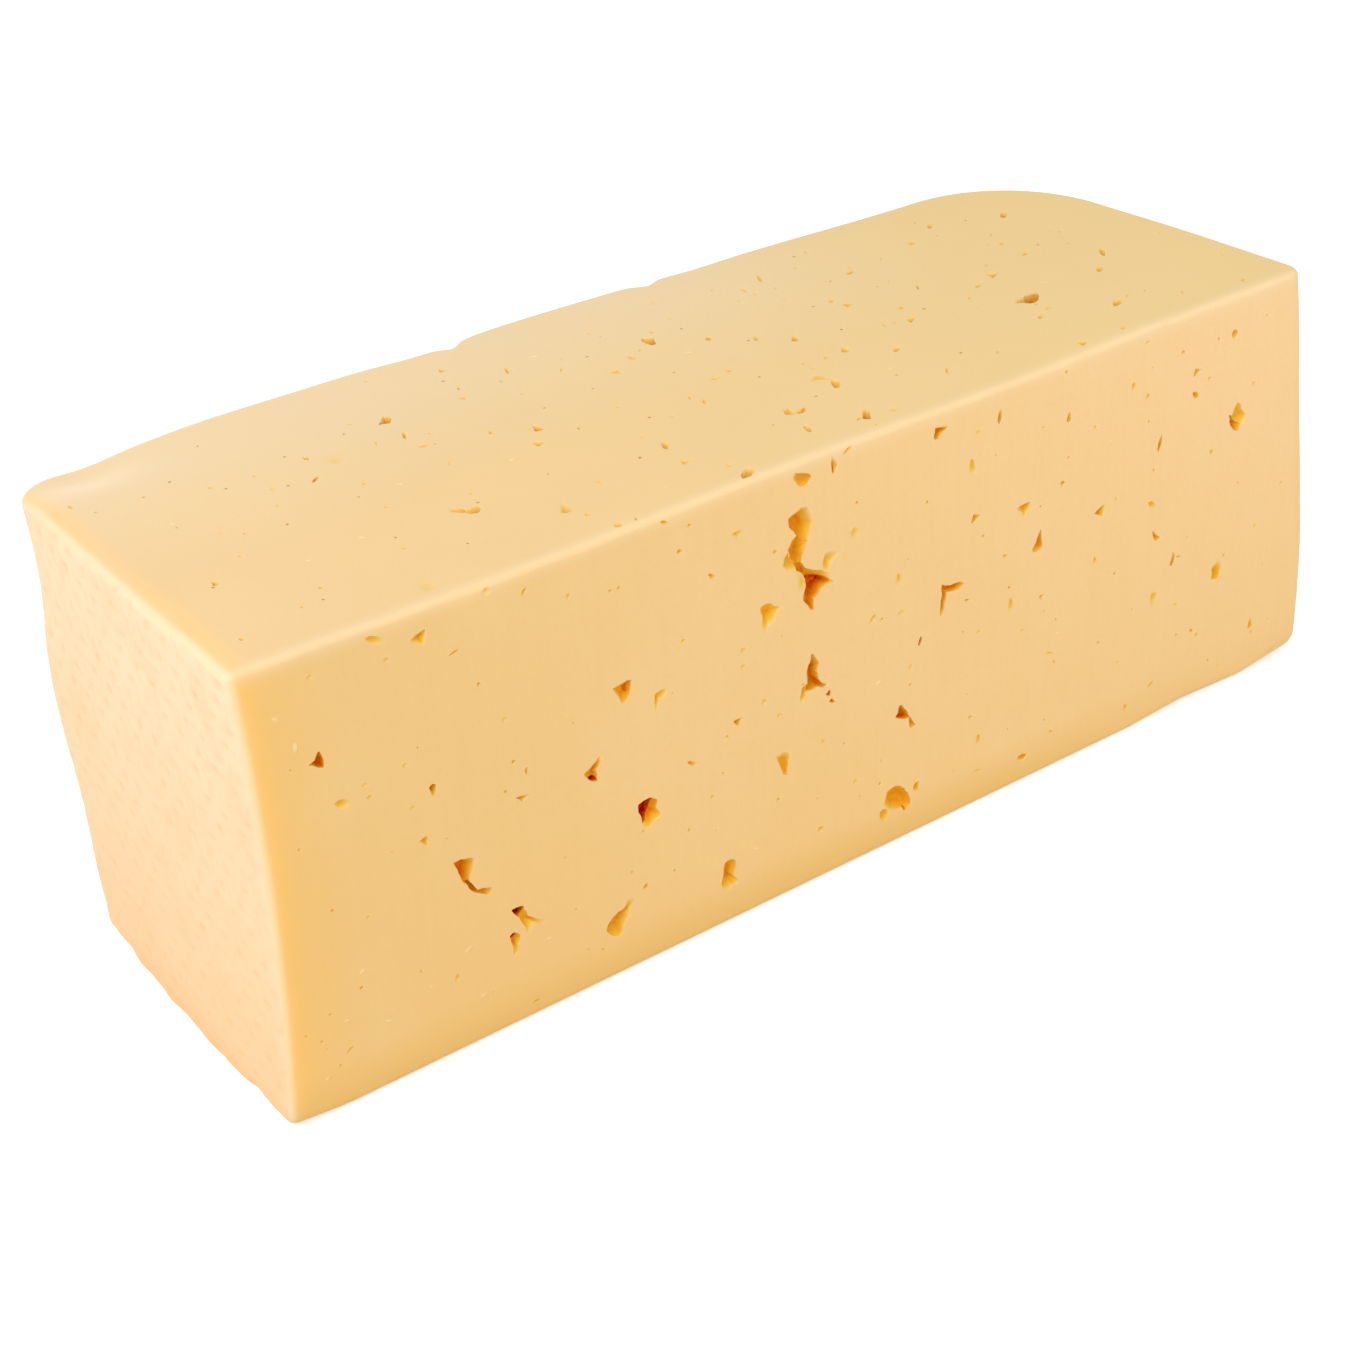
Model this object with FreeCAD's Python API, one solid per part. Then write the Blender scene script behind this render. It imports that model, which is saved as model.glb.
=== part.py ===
"""A block of semi-hard Dutch cheese: one solid with two cut faces and a rind on every other side.

Millimetres. X runs along the block, Y from its cut front to its back, Z up.
The origin is on the surface it rests on, under the middle of its box.
"""
import FreeCAD, Part
import math
import os

Vector = FreeCAD.Vector

# ---- the block ----
TOP_LENGTH = 292.7        # left end to right end, along the top
DEPTH = 107.4             # cut front to back, at the top of the left end
HEIGHT = 110.0

# ---- how it has settled out of square under its own weight ----
RIGHT_FOOT = 10.1         # how far the foot of the right end reaches past its top
LEFT_FOOT = 1.8           # the same at the left end
FRONT_LEAN_LEFT = 4.0     # how far the cut front steps back at its foot, at its left
FRONT_LEAN_RIGHT = -3.1   # the same at its right, where the foot stands forward
FRONT_SKEW = 3.1          # how far the top of the front lies back at its right
BACK_LEAN = -0.8
BACK_SKEW = -0.6          # how much shorter the back of the top is than its front

# ---- how far each side swells at mid-height ----
LEFT_BELLY_FRONT = -1.7   # drawn in beside the cut front
LEFT_BELLY_BACK = 2.0
RIGHT_BELLY = 1.5
FRONT_BELLY = 0.8
BACK_BELLY = 1.4

# ---- upright corners ----
LEFT_FRONT_RADIUS = 2.4   # cut corner
RIGHT_FRONT_RADIUS = 4.8  # cut through the mould's flat end
RIGHT_BACK_RADIUS = 36.2  # the mould's own round corner
LEFT_BACK_RADIUS_TOP = 12.0
LEFT_BACK_RADIUS_FOOT = 19.5

# ---- level edges ----
TOP_EDGE_RADIUS = 1.4
FOOT_EDGE_RADIUS = 2.0
EDGE_TO_CORNER = 0.9      # a level edge's radius is at most this share of the tightest upright corner's

# ---- eyes: the holes that the gas left, laid open by the two cuts ----
EYE_MOUTH_RISE = 3.0      # how far a cutter stands out of the cut face
EYE_FLOOR_SHARE = 0.45    # width of an eye's floor, of its mouth
EYE_LEAN = 0.18           # how far the floor drifts sideways, of the depth

# Corners of each kind of mouth, on a mouth one wide and one tall.
EYE_KINDS = {
    "wedge": [(-0.50, 0.34), (0.28, 0.50), (0.50, 0.05), (-0.04, -0.50)],
    "slit": [(-0.50, -0.06), (-0.15, 0.38), (0.50, 0.12), (0.20, -0.50)],
    "round": [(0.50 * math.cos(k * math.pi / 4), 0.50 * math.sin(k * math.pi / 4)) for k in range(8)],
    "lobe": [(-0.50, 0.10), (-0.22, 0.50), (0.30, 0.44), (0.50, -0.14), (0.05, -0.50), (-0.34, -0.36)],
    "tail": [(-0.50, 0.50), (0.50, 0.34), (0.16, -0.50), (-0.16, -0.42)],
}

# (kind, share of the length from the left, share of the height from the top, wide, tall, deep, turn)
FRONT_EYES = [
    ("wedge", 0.049, 0.218, 4.0, 5.0, 3.5, 0),
    ("slit", 0.062, 0.322, 3.8, 2.6, 1.2, -45),
    ("slit", 0.103, 0.032, 4.6, 2.2, 1.6, -40),
    ("wedge", 0.135, 0.064, 3.8, 3.4, 2.2, 15),
    ("tail", 0.128, 0.373, 1.8, 3.4, 2.4, 0),
    ("wedge", 0.118, 0.475, 2.0, 3.4, 1.8, 15),
    ("tail", 0.145, 0.566, 5.0, 6.0, 5.0, 5),
    ("tail", 0.150, 0.618, 3.6, 6.4, 4.0, 35),
    ("wedge", 0.184, 0.723, 3.2, 3.2, 5.0, 0),
    ("slit", 0.197, 0.755, 6.6, 2.4, 3.0, -45),
    ("tail", 0.181, 0.795, 2.6, 6.2, 3.0, 0),
    ("slit", 0.270, 0.852, 10.0, 4.4, 4.5, 45),
    ("wedge", 0.253, 0.476, 5.4, 5.8, 3.5, -20),
    ("slit", 0.196, 0.472, 3.6, 1.6, 1.8, -15),
    ("wedge", 0.283, 0.333, 5.4, 4.8, 3.0, 0),
    ("tail", 0.314, 0.387, 3.4, 5.8, 1.4, -10),
    ("lobe", 0.297, 0.633, 5.4, 8.8, 7.0, 0),
    ("tail", 0.369, 0.871, 4.4, 8.8, 4.5, 0),
    ("wedge", 0.379, 0.513, 3.0, 2.6, 2.4, 0),
    ("lobe", 0.413, 0.304, 5.8, 7.6, 2.0, 0),
    ("tail", 0.420, 0.659, 3.6, 7.0, 2.4, 0),
    ("round", 0.454, 0.039, 5.0, 4.2, 3.0, 0),
    ("tail", 0.481, 0.031, 1.6, 4.8, 2.0, 0),
    ("lobe", 0.450, 0.145, 7.0, 10.6, 6.0, 0),
    ("tail", 0.440, 0.191, 5.6, 8.0, 6.0, 0),
    ("lobe", 0.459, 0.265, 10.0, 6.6, 7.5, 0),
    ("tail", 0.450, 0.300, 5.0, 7.8, 5.0, 0),
    ("slit", 0.474, 0.233, 5.2, 3.2, 1.8, 0),
    ("tail", 0.451, 0.480, 5.6, 12.4, 6.0, 180),
    ("wedge", 0.466, 0.547, 2.4, 2.4, 2.0, 0),
    ("round", 0.532, 0.882, 8.2, 8.2, 3.5, 0),
    ("lobe", 0.519, 0.911, 3.2, 3.6, 1.8, 0),
    ("wedge", 0.551, 0.875, 2.4, 3.6, 1.8, 0),
    ("wedge", 0.536, 0.664, 5.0, 4.8, 4.0, -35),
    ("tail", 0.546, 0.699, 2.1, 3.6, 2.2, 180),
    ("tail", 0.555, 0.509, 1.4, 3.0, 3.0, -20),
    ("wedge", 0.586, 0.053, 4.8, 3.4, 3.2, 10),
    ("tail", 0.577, 0.435, 1.9, 9.0, 4.0, -6),
    ("slit", 0.591, 0.413, 7.0, 2.6, 3.0, -8),
    ("tail", 0.647, 0.069, 1.7, 4.4, 2.4, -20),
    ("wedge", 0.615, 0.271, 3.6, 2.4, 2.2, 0),
    ("wedge", 0.666, 0.305, 5.0, 4.2, 2.4, 0),
    ("tail", 0.680, 0.391, 3.6, 6.6, 3.4, 180),
    ("slit", 0.663, 0.930, 4.2, 2.4, 2.0, -10),
    ("tail", 0.719, 0.130, 1.8, 3.2, 2.0, -10),
    ("wedge", 0.750, 0.387, 4.2, 3.8, 2.8, 0),
    ("tail", 0.818, 0.279, 1.7, 5.2, 3.0, -20),
    ("tail", 0.813, 0.505, 1.9, 4.4, 2.0, 40),
    ("tail", 0.833, 0.582, 2.1, 4.4, 2.4, -10),
    ("wedge", 0.864, 0.143, 3.6, 2.4, 2.0, 0),
    ("wedge", 0.862, 0.199, 2.3, 2.8, 2.4, 0),
    ("tail", 0.886, 0.665, 4.0, 6.2, 2.4, 0),
    ("lobe", 0.909, 0.295, 7.4, 7.4, 4.0, 0),
    ("round", 0.910, 0.094, 2.6, 2.8, 2.0, 0),
    ("tail", 0.932, 0.861, 2.2, 4.6, 2.0, 0),
]

# (kind, share of the length from the left, share of the depth from the front, wide, long, deep, turn)
TOP_EYES = [
    ("round", 0.052, 0.323, 1.8, 2.2, 1.6, 0),
    ("slit", 0.233, 0.266, 7.2, 3.2, 1.8, -37),
    ("wedge", 0.266, 0.727, 3.6, 4.0, 2.6, 0),
    ("wedge", 0.345, 0.480, 2.8, 4.0, 2.0, 0),
    ("slit", 0.397, 0.236, 4.8, 2.1, 1.8, 60),
    ("slit", 0.414, 0.029, 4.8, 3.0, 1.8, 25),
    ("slit", 0.493, 0.106, 4.6, 2.1, 2.0, 65),
    ("wedge", 0.504, 0.695, 3.4, 5.2, 2.8, -20),
    ("lobe", 0.504, 0.192, 5.4, 4.2, 1.8, 0),
    ("slit", 0.541, 0.079, 5.8, 2.3, 2.4, 50),
    ("slit", 0.559, 0.244, 5.6, 3.0, 1.8, 50),
    ("slit", 0.686, 0.397, 4.6, 3.2, 2.0, 25),
    ("wedge", 0.752, 0.048, 3.0, 3.4, 2.2, 0),
    ("slit", 0.786, 0.302, 8.2, 4.6, 3.4, 10),
    ("wedge", 0.804, 0.477, 4.4, 4.2, 2.4, 0),
    ("slit", 0.833, 0.150, 5.4, 2.8, 1.8, 15),
    ("slit", 0.845, 0.816, 4.4, 2.4, 2.0, 40),
    ("slit", 0.877, 0.323, 4.4, 2.6, 1.8, 20),
    ("slit", 0.908, 0.402, 6.8, 1.9, 2.0, 50),
    ("slit", 0.913, 0.752, 5.6, 3.0, 2.8, 35),
]


def swell(level):
    """Share of a side's belly at a level from 0, the foot, to 1, the top."""
    return 4 * level * (1 - level)


def plan_corners(level):
    """The block's four square corners at a level: left front, right front, right back, left back."""
    foot = 1 - level
    belly = swell(level)
    right = TOP_LENGTH + RIGHT_FOOT * foot + RIGHT_BELLY * belly
    back = DEPTH + BACK_LEAN * foot + BACK_BELLY * belly
    return [
        Vector(-LEFT_FOOT * foot - LEFT_BELLY_FRONT * belly, FRONT_LEAN_LEFT * foot - FRONT_BELLY * belly, 0),
        Vector(right, FRONT_SKEW + FRONT_LEAN_RIGHT * foot - FRONT_BELLY * belly, 0),
        Vector(right + BACK_SKEW, back, 0),
        Vector(-LEFT_FOOT * foot - LEFT_BELLY_BACK * belly, back, 0),
    ]


def plan_radii(level):
    """The radii of the four upright corners at a level, in the same order."""
    left_back = LEFT_BACK_RADIUS_FOOT + (LEFT_BACK_RADIUS_TOP - LEFT_BACK_RADIUS_FOOT) * level
    return [LEFT_FRONT_RADIUS, RIGHT_FRONT_RADIUS, RIGHT_BACK_RADIUS, left_back]


def corner_arc(corner, before, after, radius):
    """Start, middle and end of the arc that rounds a corner between its two neighbours."""
    to_before = (before - corner).normalize()
    to_after = (after - corner).normalize()
    half = to_before.getAngle(to_after) / 2
    run = radius / math.tan(half)
    inward = (to_before + to_after).normalize()
    centre = corner + inward * (radius / math.sin(half))
    return corner + to_before * run, centre - inward * radius, corner + to_after * run


def plan_wire(level):
    """The block's level outline: four straight sides joined by four arcs."""
    corners = plan_corners(level)
    arcs = []
    for i, radius in enumerate(plan_radii(level)):
        arcs.append(corner_arc(corners[i], corners[i - 1], corners[(i + 1) % 4], radius))
    edges = []
    for i, (start, middle, end) in enumerate(arcs):
        edges.append(Part.Arc(start, middle, end).toShape())
        edges.append(Part.makeLine(end, arcs[(i + 1) % 4][0]))
    wire = Part.Wire(edges)
    wire.translate(Vector(0, 0, HEIGHT * level))
    return wire


def edges_at(body, z):
    """The edges of the body that lie all along one level."""
    return [e for e in body.Edges if abs(e.BoundBox.ZMin - z) < 0.01 and abs(e.BoundBox.ZMax - z) < 0.01]


def block_body():
    """The block before the eyes: one loft through its foot, middle and top, with softened edges."""
    body = Part.makeLoft([plan_wire(level) for level in (0.0, 0.5, 1.0)], True, False)
    top_limit = EDGE_TO_CORNER * min(plan_radii(1.0))
    foot_limit = EDGE_TO_CORNER * min(plan_radii(0.0))
    body = body.makeFillet(min(TOP_EDGE_RADIUS, top_limit), edges_at(body, HEIGHT))
    return body.makeFillet(min(FOOT_EDGE_RADIUS, foot_limit), edges_at(body, 0))


def front_point(along, down):
    """The point of the cut front at these shares of its length and height, from its top left."""
    level = 1 - down
    left, right = plan_corners(level)[:2]
    point = left + (right - left) * along
    point.z = HEIGHT * level
    return point


def top_point(along, inward):
    """The point of the cut top at these shares of its length and depth, from its front left."""
    left_front, right_front, right_back, left_back = plan_corners(1.0)
    front = left_front + (right_front - left_front) * along
    back = left_back + (right_back - left_back) * along
    point = front + (back - front) * inward
    point.z = HEIGHT
    return point


def eye_cutter(kind, wide, tall, deep, turn, place, rise_axis, outward):
    """A tapered faceted plug: its mouth stands out of the cut face and its floor lies deep in the paste."""
    run_axis = rise_axis.cross(outward)
    turned = math.radians(turn)
    wires = []
    for share, height in ((1.0, EYE_MOUTH_RISE), (1.0, 0.0), (EYE_FLOOR_SHARE, -deep)):
        points = []
        for u, v in EYE_KINDS[kind]:
            across = share * (u * wide * math.cos(turned) - v * tall * math.sin(turned))
            up = share * (u * wide * math.sin(turned) + v * tall * math.cos(turned))
            drift = EYE_LEAN * max(-height, 0)
            points.append(place + run_axis * (across + drift) + rise_axis * (up - drift) + outward * height)
        wires.append(Part.makePolygon(points + points[:1]))
    return Part.makeLoft(wires, True, True)


def eye_cutters():
    """Every eye of the two cut faces."""
    cutters = []
    for kind, along, down, wide, tall, deep, turn in FRONT_EYES:
        place = front_point(along, down)
        cutters.append(eye_cutter(kind, wide, tall, deep, turn, place, Vector(0, 0, 1), Vector(0, -1, 0)))
    for kind, along, inward, wide, tall, deep, turn in TOP_EYES:
        place = top_point(along, inward)
        cutters.append(eye_cutter(kind, wide, tall, deep, turn, place, Vector(0, 1, 0), Vector(0, 0, 1)))
    return cutters


def cheese_block():
    """The whole piece, moved so that it rests on Z = 0 with the origin under the middle of its box."""
    piece = block_body().cut(eye_cutters())
    box = piece.optimalBoundingBox(False)
    piece.translate(Vector(-(box.XMin + box.XMax) / 2, -(box.YMin + box.YMax) / 2, -box.ZMin))
    return piece


def main():
    os.makedirs("parts", exist_ok=True)
    piece = cheese_block()
    solid = piece.Solids[0]
    box = solid.optimalBoundingBox(False)
    print("solids", len(piece.Solids), "valid", solid.isValid(), "faces", len(solid.Faces))
    print("size mm", round(box.XLength, 2), round(box.YLength, 2), round(box.ZLength, 2))
    print("volume mm3", round(solid.Volume))
    solid.exportStep("parts/cheese_block.step")


main()
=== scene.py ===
"""The look of a block of semi-hard Dutch cheese, laid out as an add-on and run as a script.

The sizes are in millimetres inside the shape code and in metres in the scene.
X runs along the block from its left end, Y from its cut front to its back, Z up from its foot.
"""
import math
import random

import bmesh
import bpy
import numpy as np
from mathutils import Matrix, Vector
from mathutils.bvhtree import BVHTree
from mathutils.geometry import delaunay_2d_cdt
from mathutils.kdtree import KDTree


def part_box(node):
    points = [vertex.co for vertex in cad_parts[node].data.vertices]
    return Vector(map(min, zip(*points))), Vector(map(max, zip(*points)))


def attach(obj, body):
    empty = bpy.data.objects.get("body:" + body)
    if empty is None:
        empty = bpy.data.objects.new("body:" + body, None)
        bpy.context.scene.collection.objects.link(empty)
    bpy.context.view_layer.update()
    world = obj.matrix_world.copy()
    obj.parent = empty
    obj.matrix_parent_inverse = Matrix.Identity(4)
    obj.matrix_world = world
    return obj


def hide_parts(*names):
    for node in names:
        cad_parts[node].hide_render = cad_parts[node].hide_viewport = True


bl_info = {
    "name": "Dutch cheese block",
    "version": (1, 0, 0),
    "blender": (4, 5, 0),
    "location": "3D View > Sidebar > Cheese",
    "description": "A cut block of semi-hard Dutch cheese with its eyes, cut edges and dimpled rind",
    "category": "Object",
}

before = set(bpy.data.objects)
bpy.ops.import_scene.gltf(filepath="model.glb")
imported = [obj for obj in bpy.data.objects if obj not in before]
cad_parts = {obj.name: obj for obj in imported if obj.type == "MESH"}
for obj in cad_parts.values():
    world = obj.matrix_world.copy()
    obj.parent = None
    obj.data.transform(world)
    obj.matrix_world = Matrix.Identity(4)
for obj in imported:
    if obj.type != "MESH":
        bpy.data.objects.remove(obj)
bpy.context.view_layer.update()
BLOCK_LOW, BLOCK_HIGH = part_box("cheese_block")
MM = 0.001

# ---- the block's plan, as the CAD has it ----
TOP_LENGTH = 292.7
DEPTH = 107.4
HEIGHT = 110.0
RIGHT_FOOT = 10.1
LEFT_FOOT = 1.8
FRONT_LEAN_LEFT = 4.0
FRONT_LEAN_RIGHT = -3.1
FRONT_SKEW = 3.1
BACK_LEAN = -0.8
BACK_SKEW = -0.6
LEFT_BELLY_FRONT = -1.7
LEFT_BELLY_BACK = 2.0
RIGHT_BELLY = 1.5
FRONT_BELLY = 0.8
BACK_BELLY = 1.4
CORNER_RADII_TOP = (2.4, 4.8, 36.2, 12.0)      # left front, right front, right back, left back
CORNER_RADII_FOOT = (2.4, 4.8, 36.2, 19.5)
LEAST_RADIUS = 0.35

# ---- how far the foot edge is rounded, from each corner to the next: (distance share, radius) ----
FOOT_ROUNDING = {
    "front": [(0.0, 4.5), (0.04, 2.4), (0.80, 2.4), (0.87, 4.6), (0.94, 3.0), (1.0, 6.5)],
    "right": [(0.0, 6.5), (0.15, 8.0), (0.85, 8.0), (1.0, 9.0)],
    "back": [(0.0, 9.0), (0.1, 6.0), (0.9, 6.0), (1.0, 4.0)],
    "left": [(0.0, 4.0), (0.15, 1.5), (0.62, 1.2), (0.86, 4.5), (1.0, 4.5)],
}
SIDES = ("front", "right", "back", "left")
TOP_ROUND = 1.5

# ---- mesh spacing ----
TOP_ROUND_ROWS = 4
FOOT_ROUND_ROWS = 6
WALL_ROWS = 98
SIDE_STEPS = (2.7, 1.7, 2.0, 0.82)             # front, right, back, left
CORNER_STEPS = (5, 6, 32, 18)
EDGE_RUN = (0.0, 0.7, 1.5, 2.4, 3.5, 5.0, 7.0, 9.4)   # closer steps beside the cut edges
TOP_RINGS = (0.7, 1.5, 2.5, 3.8, 5.6, 8.0)
TOP_GRID = 2.8
FOOT_RINGS = (3.0,)
FOOT_GRID = 7.0
FOOT_SHRINK = 50.0                             # the foot's half width, about which its rings are drawn in

# ---- soft swells and hollows of the outside: (side, along, up, how long, how high, out) ----
SWELLS = [
    ("back", 135, 110, 30, 60, 0.9),
    ("back", 70, 100, 30, 60, 0.1),
    ("back", 247, 110, 26, 50, -2.1),
    ("back", 104, 110, 9, 10, -2.0),
    ("back", 110.5, 111, 2.0, 5, -2.6),
    ("back", 168, 111, 2.2, 5, -2.4),
    ("back", 183, 111, 7, 9, -0.7),
    ("back", 27, 112, 11, 12, -2.0),
    ("left back", 0, 91, 20, 14, -2.5),
    ("left back", 0, 37, 20, 13, -1.45),
    ("left back", 0, 60, 20, 10, -0.2),
    ("right front", 0, 76, 12, 14, -0.8),
    ("right front", 0, 26, 12, 14, 0.8),
    ("right back", 0, 112, 16, 40, -1.0),
]
CORNER_WAYS = {
    "left back": ((0.0, DEPTH), (-0.82, 0.57)),
    "right front": ((TOP_LENGTH + 4.0, FRONT_SKEW), (1.0, 0.0)),
    "right back": ((TOP_LENGTH - 4.0, 70.0), (0.93, 0.37)),
}
# ---- rises and falls of the top: (along, from the back, how long, how wide, up) ----
DROOPS = [
    (16.0, 5.0, 7.0, 6.0, -2.0),
    (1.0, 2.0, 9.0, 9.0, -1.2),
    (0.0, 107.0, 22.0, 14.0, 0.5),
    (70.0, 107.0, 26.0, 12.0, -0.4),
    (196.0, 107.0, 24.0, 12.0, -0.6),
    (150.0, 55.0, 60.0, 30.0, 0.25),
]

# ---- how uneven the cut edges and the foot of the left end are ----
EDGE_WEAR = 0.22
EDGE_REACH = 1.7
FOOT_WEAR = 0.42
FOOT_REACH = 3.0
EDGE_WAVES = ((0.5, 2.3, 1), (0.6, 5.1, 2), (0.3, 1.27, 5))   # high, long, shift

# ---- how high the faint waves of the cut faces are ----
FRONT_WAVE = 0.8
TOP_WAVE = 0.12

# ---- mouths of the small eyes, on a mouth one wide and one tall, with up positive ----
MOUTHS = {
    "wedge": [(-0.50, 0.36), (-0.08, 0.44), (0.50, 0.42), (0.30, 0.04), (0.04, -0.50), (-0.20, -0.10)],
    "slit": [(-0.50, -0.22), (-0.30, 0.30), (0.12, 0.50), (0.50, 0.26), (0.36, -0.24), (-0.02, -0.50)],
    "drop": [(-0.14, 0.50), (0.20, 0.42), (0.36, 0.02), (0.50, -0.36), (0.04, -0.50), (-0.44, -0.38),
             (-0.32, 0.06)],
    "round": [(-0.48, 0.12), (-0.18, 0.48), (0.26, 0.44), (0.50, 0.04), (0.30, -0.42), (-0.14, -0.50),
              (-0.44, -0.26)],
    "star": [(-0.50, 0.20), (-0.26, 0.28), (-0.02, 0.50), (0.24, 0.34), (0.50, 0.24), (0.36, -0.08),
             (0.30, -0.44), (0.02, -0.40), (-0.34, -0.40), (-0.34, -0.06)],
}


def eye_rows(text):
    """Small eyes: mouth, along, down or from the back, wide, tall and deep.

    Two more numbers, left out if they are 0 and 90, turn the mouth and give its steep side, in degrees.
    """
    out = []
    for row in text.split(";"):
        kind, *numbers = row.split()
        out.append((kind, *map(float, numbers if len(numbers) > 5 else (*numbers, 0, 90))))
    return out


def hollow_rows(text):
    """Large eyes: the mouth's corners, then the lowest place, deep, how dark its painted shade is from 0 to
    1, upright from 0 to 1.
    """
    out = []
    for row in text.split(";"):
        corners, shape = row.split("|")
        x, y, deep, dark, upright = map(float, shape.split())
        outline = [tuple(map(float, corner.split())) for corner in corners.split(",")]
        out.append((outline, (x, y), deep, dark, upright))
    return out


# ---- eyes of the front: (mouth, along, down, wide, tall, deep, turn, side that falls steeply) ----
FRONT_EYES = eye_rows("""
    slit 18.2 35.4 4 2.4 0.9 -40 135; slit 30.2 3.5 4.8 2 0.9 -40 120; wedge 39.4 7.1 4.2 3.6 1.6 15 90;
    drop 37.4 41 1.8 3.4 2.6 180 90; slit 23.8 36.4 1.9 0.9 0.6; wedge 34.5 52.3 2 3.4 1.2 15 120; round
    55.7 42.3 1 1.1 0.9; slit 58.5 45.7 2.4 0.9 0.9 80 180; wedge 57 51.8 3.8 1.6 1.4 -10 180; round 55 2.3
    2.2 1.8 0.35; round 16 6 1.6 1.6 0.3; round 31.8 8.5 1.6 1.4 0.35; round 72.7 10.2 1.4 1.6 0.4; round
    23.2 33.3 1.6 1.2 0.35; round 32 32.6 1.6 1.2 0.35; round 54.8 31.7 1.8 1.6 0.35; round 32.5 43 1.6 1.4
    0.35; slit 63.1 5.4 2.8 1.1 0.8 45 135; slit 46 12.5 2.6 0.7 0.9 8 90; round 82.5 12.6 0.9 0.9 0.5;
    round 84.5 12.7 0.9 0.9 0.5; round 103.2 5 1.2 1 0.5; round 98.5 30.7 1.3 1.1 0.6; round 123.8 18.7 1.5
    1.2 0.7; slit 97.3 2.3 2.8 1.2 0.8 -38 90; round 100 10 1.4 1.3 1; wedge 114.8 11.3 3.8 2.2 0.7 0 120;
    slit 107.4 18.5 2.8 1.2 1 -50 150; round 113.5 39 2.2 1.8 0.35; round 113.2 43 1.6 1.4 0.35; round 118.2
    54 1.6 1.6 0.4; round 122 59.2 1.7 1.4 0.4; round 143 86.5 1.7 1.6 0.4; round 144.5 91.3 1.6 1.4 0.35;
    star 145.4 22 3.2 4.4 0.42 0 100; slit 145.4 1.9 3.4 1.3 0.7 20 90; slit 148.8 45 3.6 1.4 0.7 42 90;
    wedge 111 56.4 2.9 2.5 1.9 0 180; slit 98.6 61.6 3.4 1.3 1.1 -45 180; round 103.3 72.5 1.1 1 0.5; round
    97 78.5 1 1.1 0.5; round 82 82.7 1.1 0.9 0.5; round 133.8 71.3 1.2 1.2 0.6; round 133.2 95.3 2 1.6 0.9;
    round 74.3 100 1 1 0.5; round 107.9 58.7 1 1 0.6; wedge 85.6 88.5 2 1.8 1.1 40 120; slit 39 89.6 3 1.3
    0.5 75 90; round 20.5 64 0.9 0.8 0.4; round 30.8 83.3 0.9 0.9 0.4; round 10.5 83.7 0.8 0.9 0.4; round 5
    86.3 0.8 0.8 0.35; round 8.2 89.5 0.8 0.9 0.4; round 12 97.8 0.9 0.9 0.4; slit 14.2 95 2.8 1.2 0.5 30
    90; slit 57.7 105.6 2.2 0.9 1; slit 189.3 7.6 4.4 1.5 2 70 250; round 182.5 9.5 1.6 1.8 0.3; drop 180
    17.2 2.6 4.2 0.9; drop 210.4 14.3 1.7 3.2 1.6 -15 240; round 218.3 19.7 1.2 1.1 0.5; round 210.4 3.2 1.2
    1.1 0.5; wedge 180 29.8 3.8 2.4 1.9 200 220; wedge 194.8 33.6 4.8 4.2 1.6 0 60; round 207.3 30.7 1.6 1.5
    1.2; drop 156.8 37.5 2.4 3.6 0.6; slit 188.5 43.2 2.2 1.2 0.7 -30 90; wedge 219.5 42.6 4 3.6 2.4 20 160;
    slit 176.6 50.6 1.8 0.9 0.9 -30 90; round 157 46.5 2.6 1.8 0.3; slit 162.4 56 2.9 1.1 6 70 270; drop 190
    57 2.4 4.6 0.7; drop 217 55 1.8 2.6 0.7; round 159.4 62 1.5 2.6 0.35; round 175.2 58.5 0.9 0.9 0.4;
    round 180 60.5 1.9 1.5 0.35; wedge 199.8 58.7 2.3 2.3 0.8 0 150; round 193.5 65.5 1.7 1.6 0.3; round
    204.3 66.5 0.9 1 0.5; round 177.5 83.3 1.4 1.2 0.5; round 150.8 84 0.9 0.9 0.4; slit 202.5 75.6 4.6 1.5
    0.35 -35 90; drop 180.2 90.7 2 3.4 0.8; slit 180 99.9 3.8 1.1 0.4 -8 90; slit 194.2 102.2 4 2.1 1.7 -12
    0; slit 203.7 98.6 2.4 1 0.6 -50 90; round 236.6 3.6 2 1 0.3; round 248.5 9.6 1.2 1.2 1; round 266.4
    10.2 2.5 2.7 1.6; round 231.5 13.5 1.9 2.9 0.5; round 236 17.3 1.5 2.1 0.6; wedge 252.8 15.7 3.6 2.2 1.6
    200 200; round 257 19 1.4 1.3 0.5; slit 252.2 21.8 3 1.9 1.8 -55 240; round 272.3 25 1.4 1.5 0.35; slit
    239.5 30.7 5.2 1.4 2.7 68 250; round 257 38.8 1.7 1.6 0.8; slit 236.4 46.5 3.8 2.1 0.9 -50 100; round
    224.3 40.7 1.3 1.1 0.35; round 282.2 56 1.6 1.3 0.35; slit 245.8 64.1 2.6 0.8 0.5 -12 180; round 273
    65.2 1.7 1.7 0.3; drop 236.8 73.4 2.9 5.2 0.6 170 90; star 259.2 73.1 4.2 6.4 1.9 -10 260; round 244.7
    77.7 1.5 1.1 0.4; round 276.3 77.7 1.1 1.1 0.3; slit 251 88 1.9 1.2 1 -60 90; round 252.8 90 1.4 1.6
    0.8; round 225 87 1 1.4 0.35; drop 272.9 94.2 2.1 3.8 1.6 0 230; round 273.5 97.4 1.2 1.8 0.4; slit
    237.5 98.5 2.8 1.4 0.8 18 180; drop 228.7 102.2 2 3 0.8; round 261.7 103 1.7 1.3 0.3
""")
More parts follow.
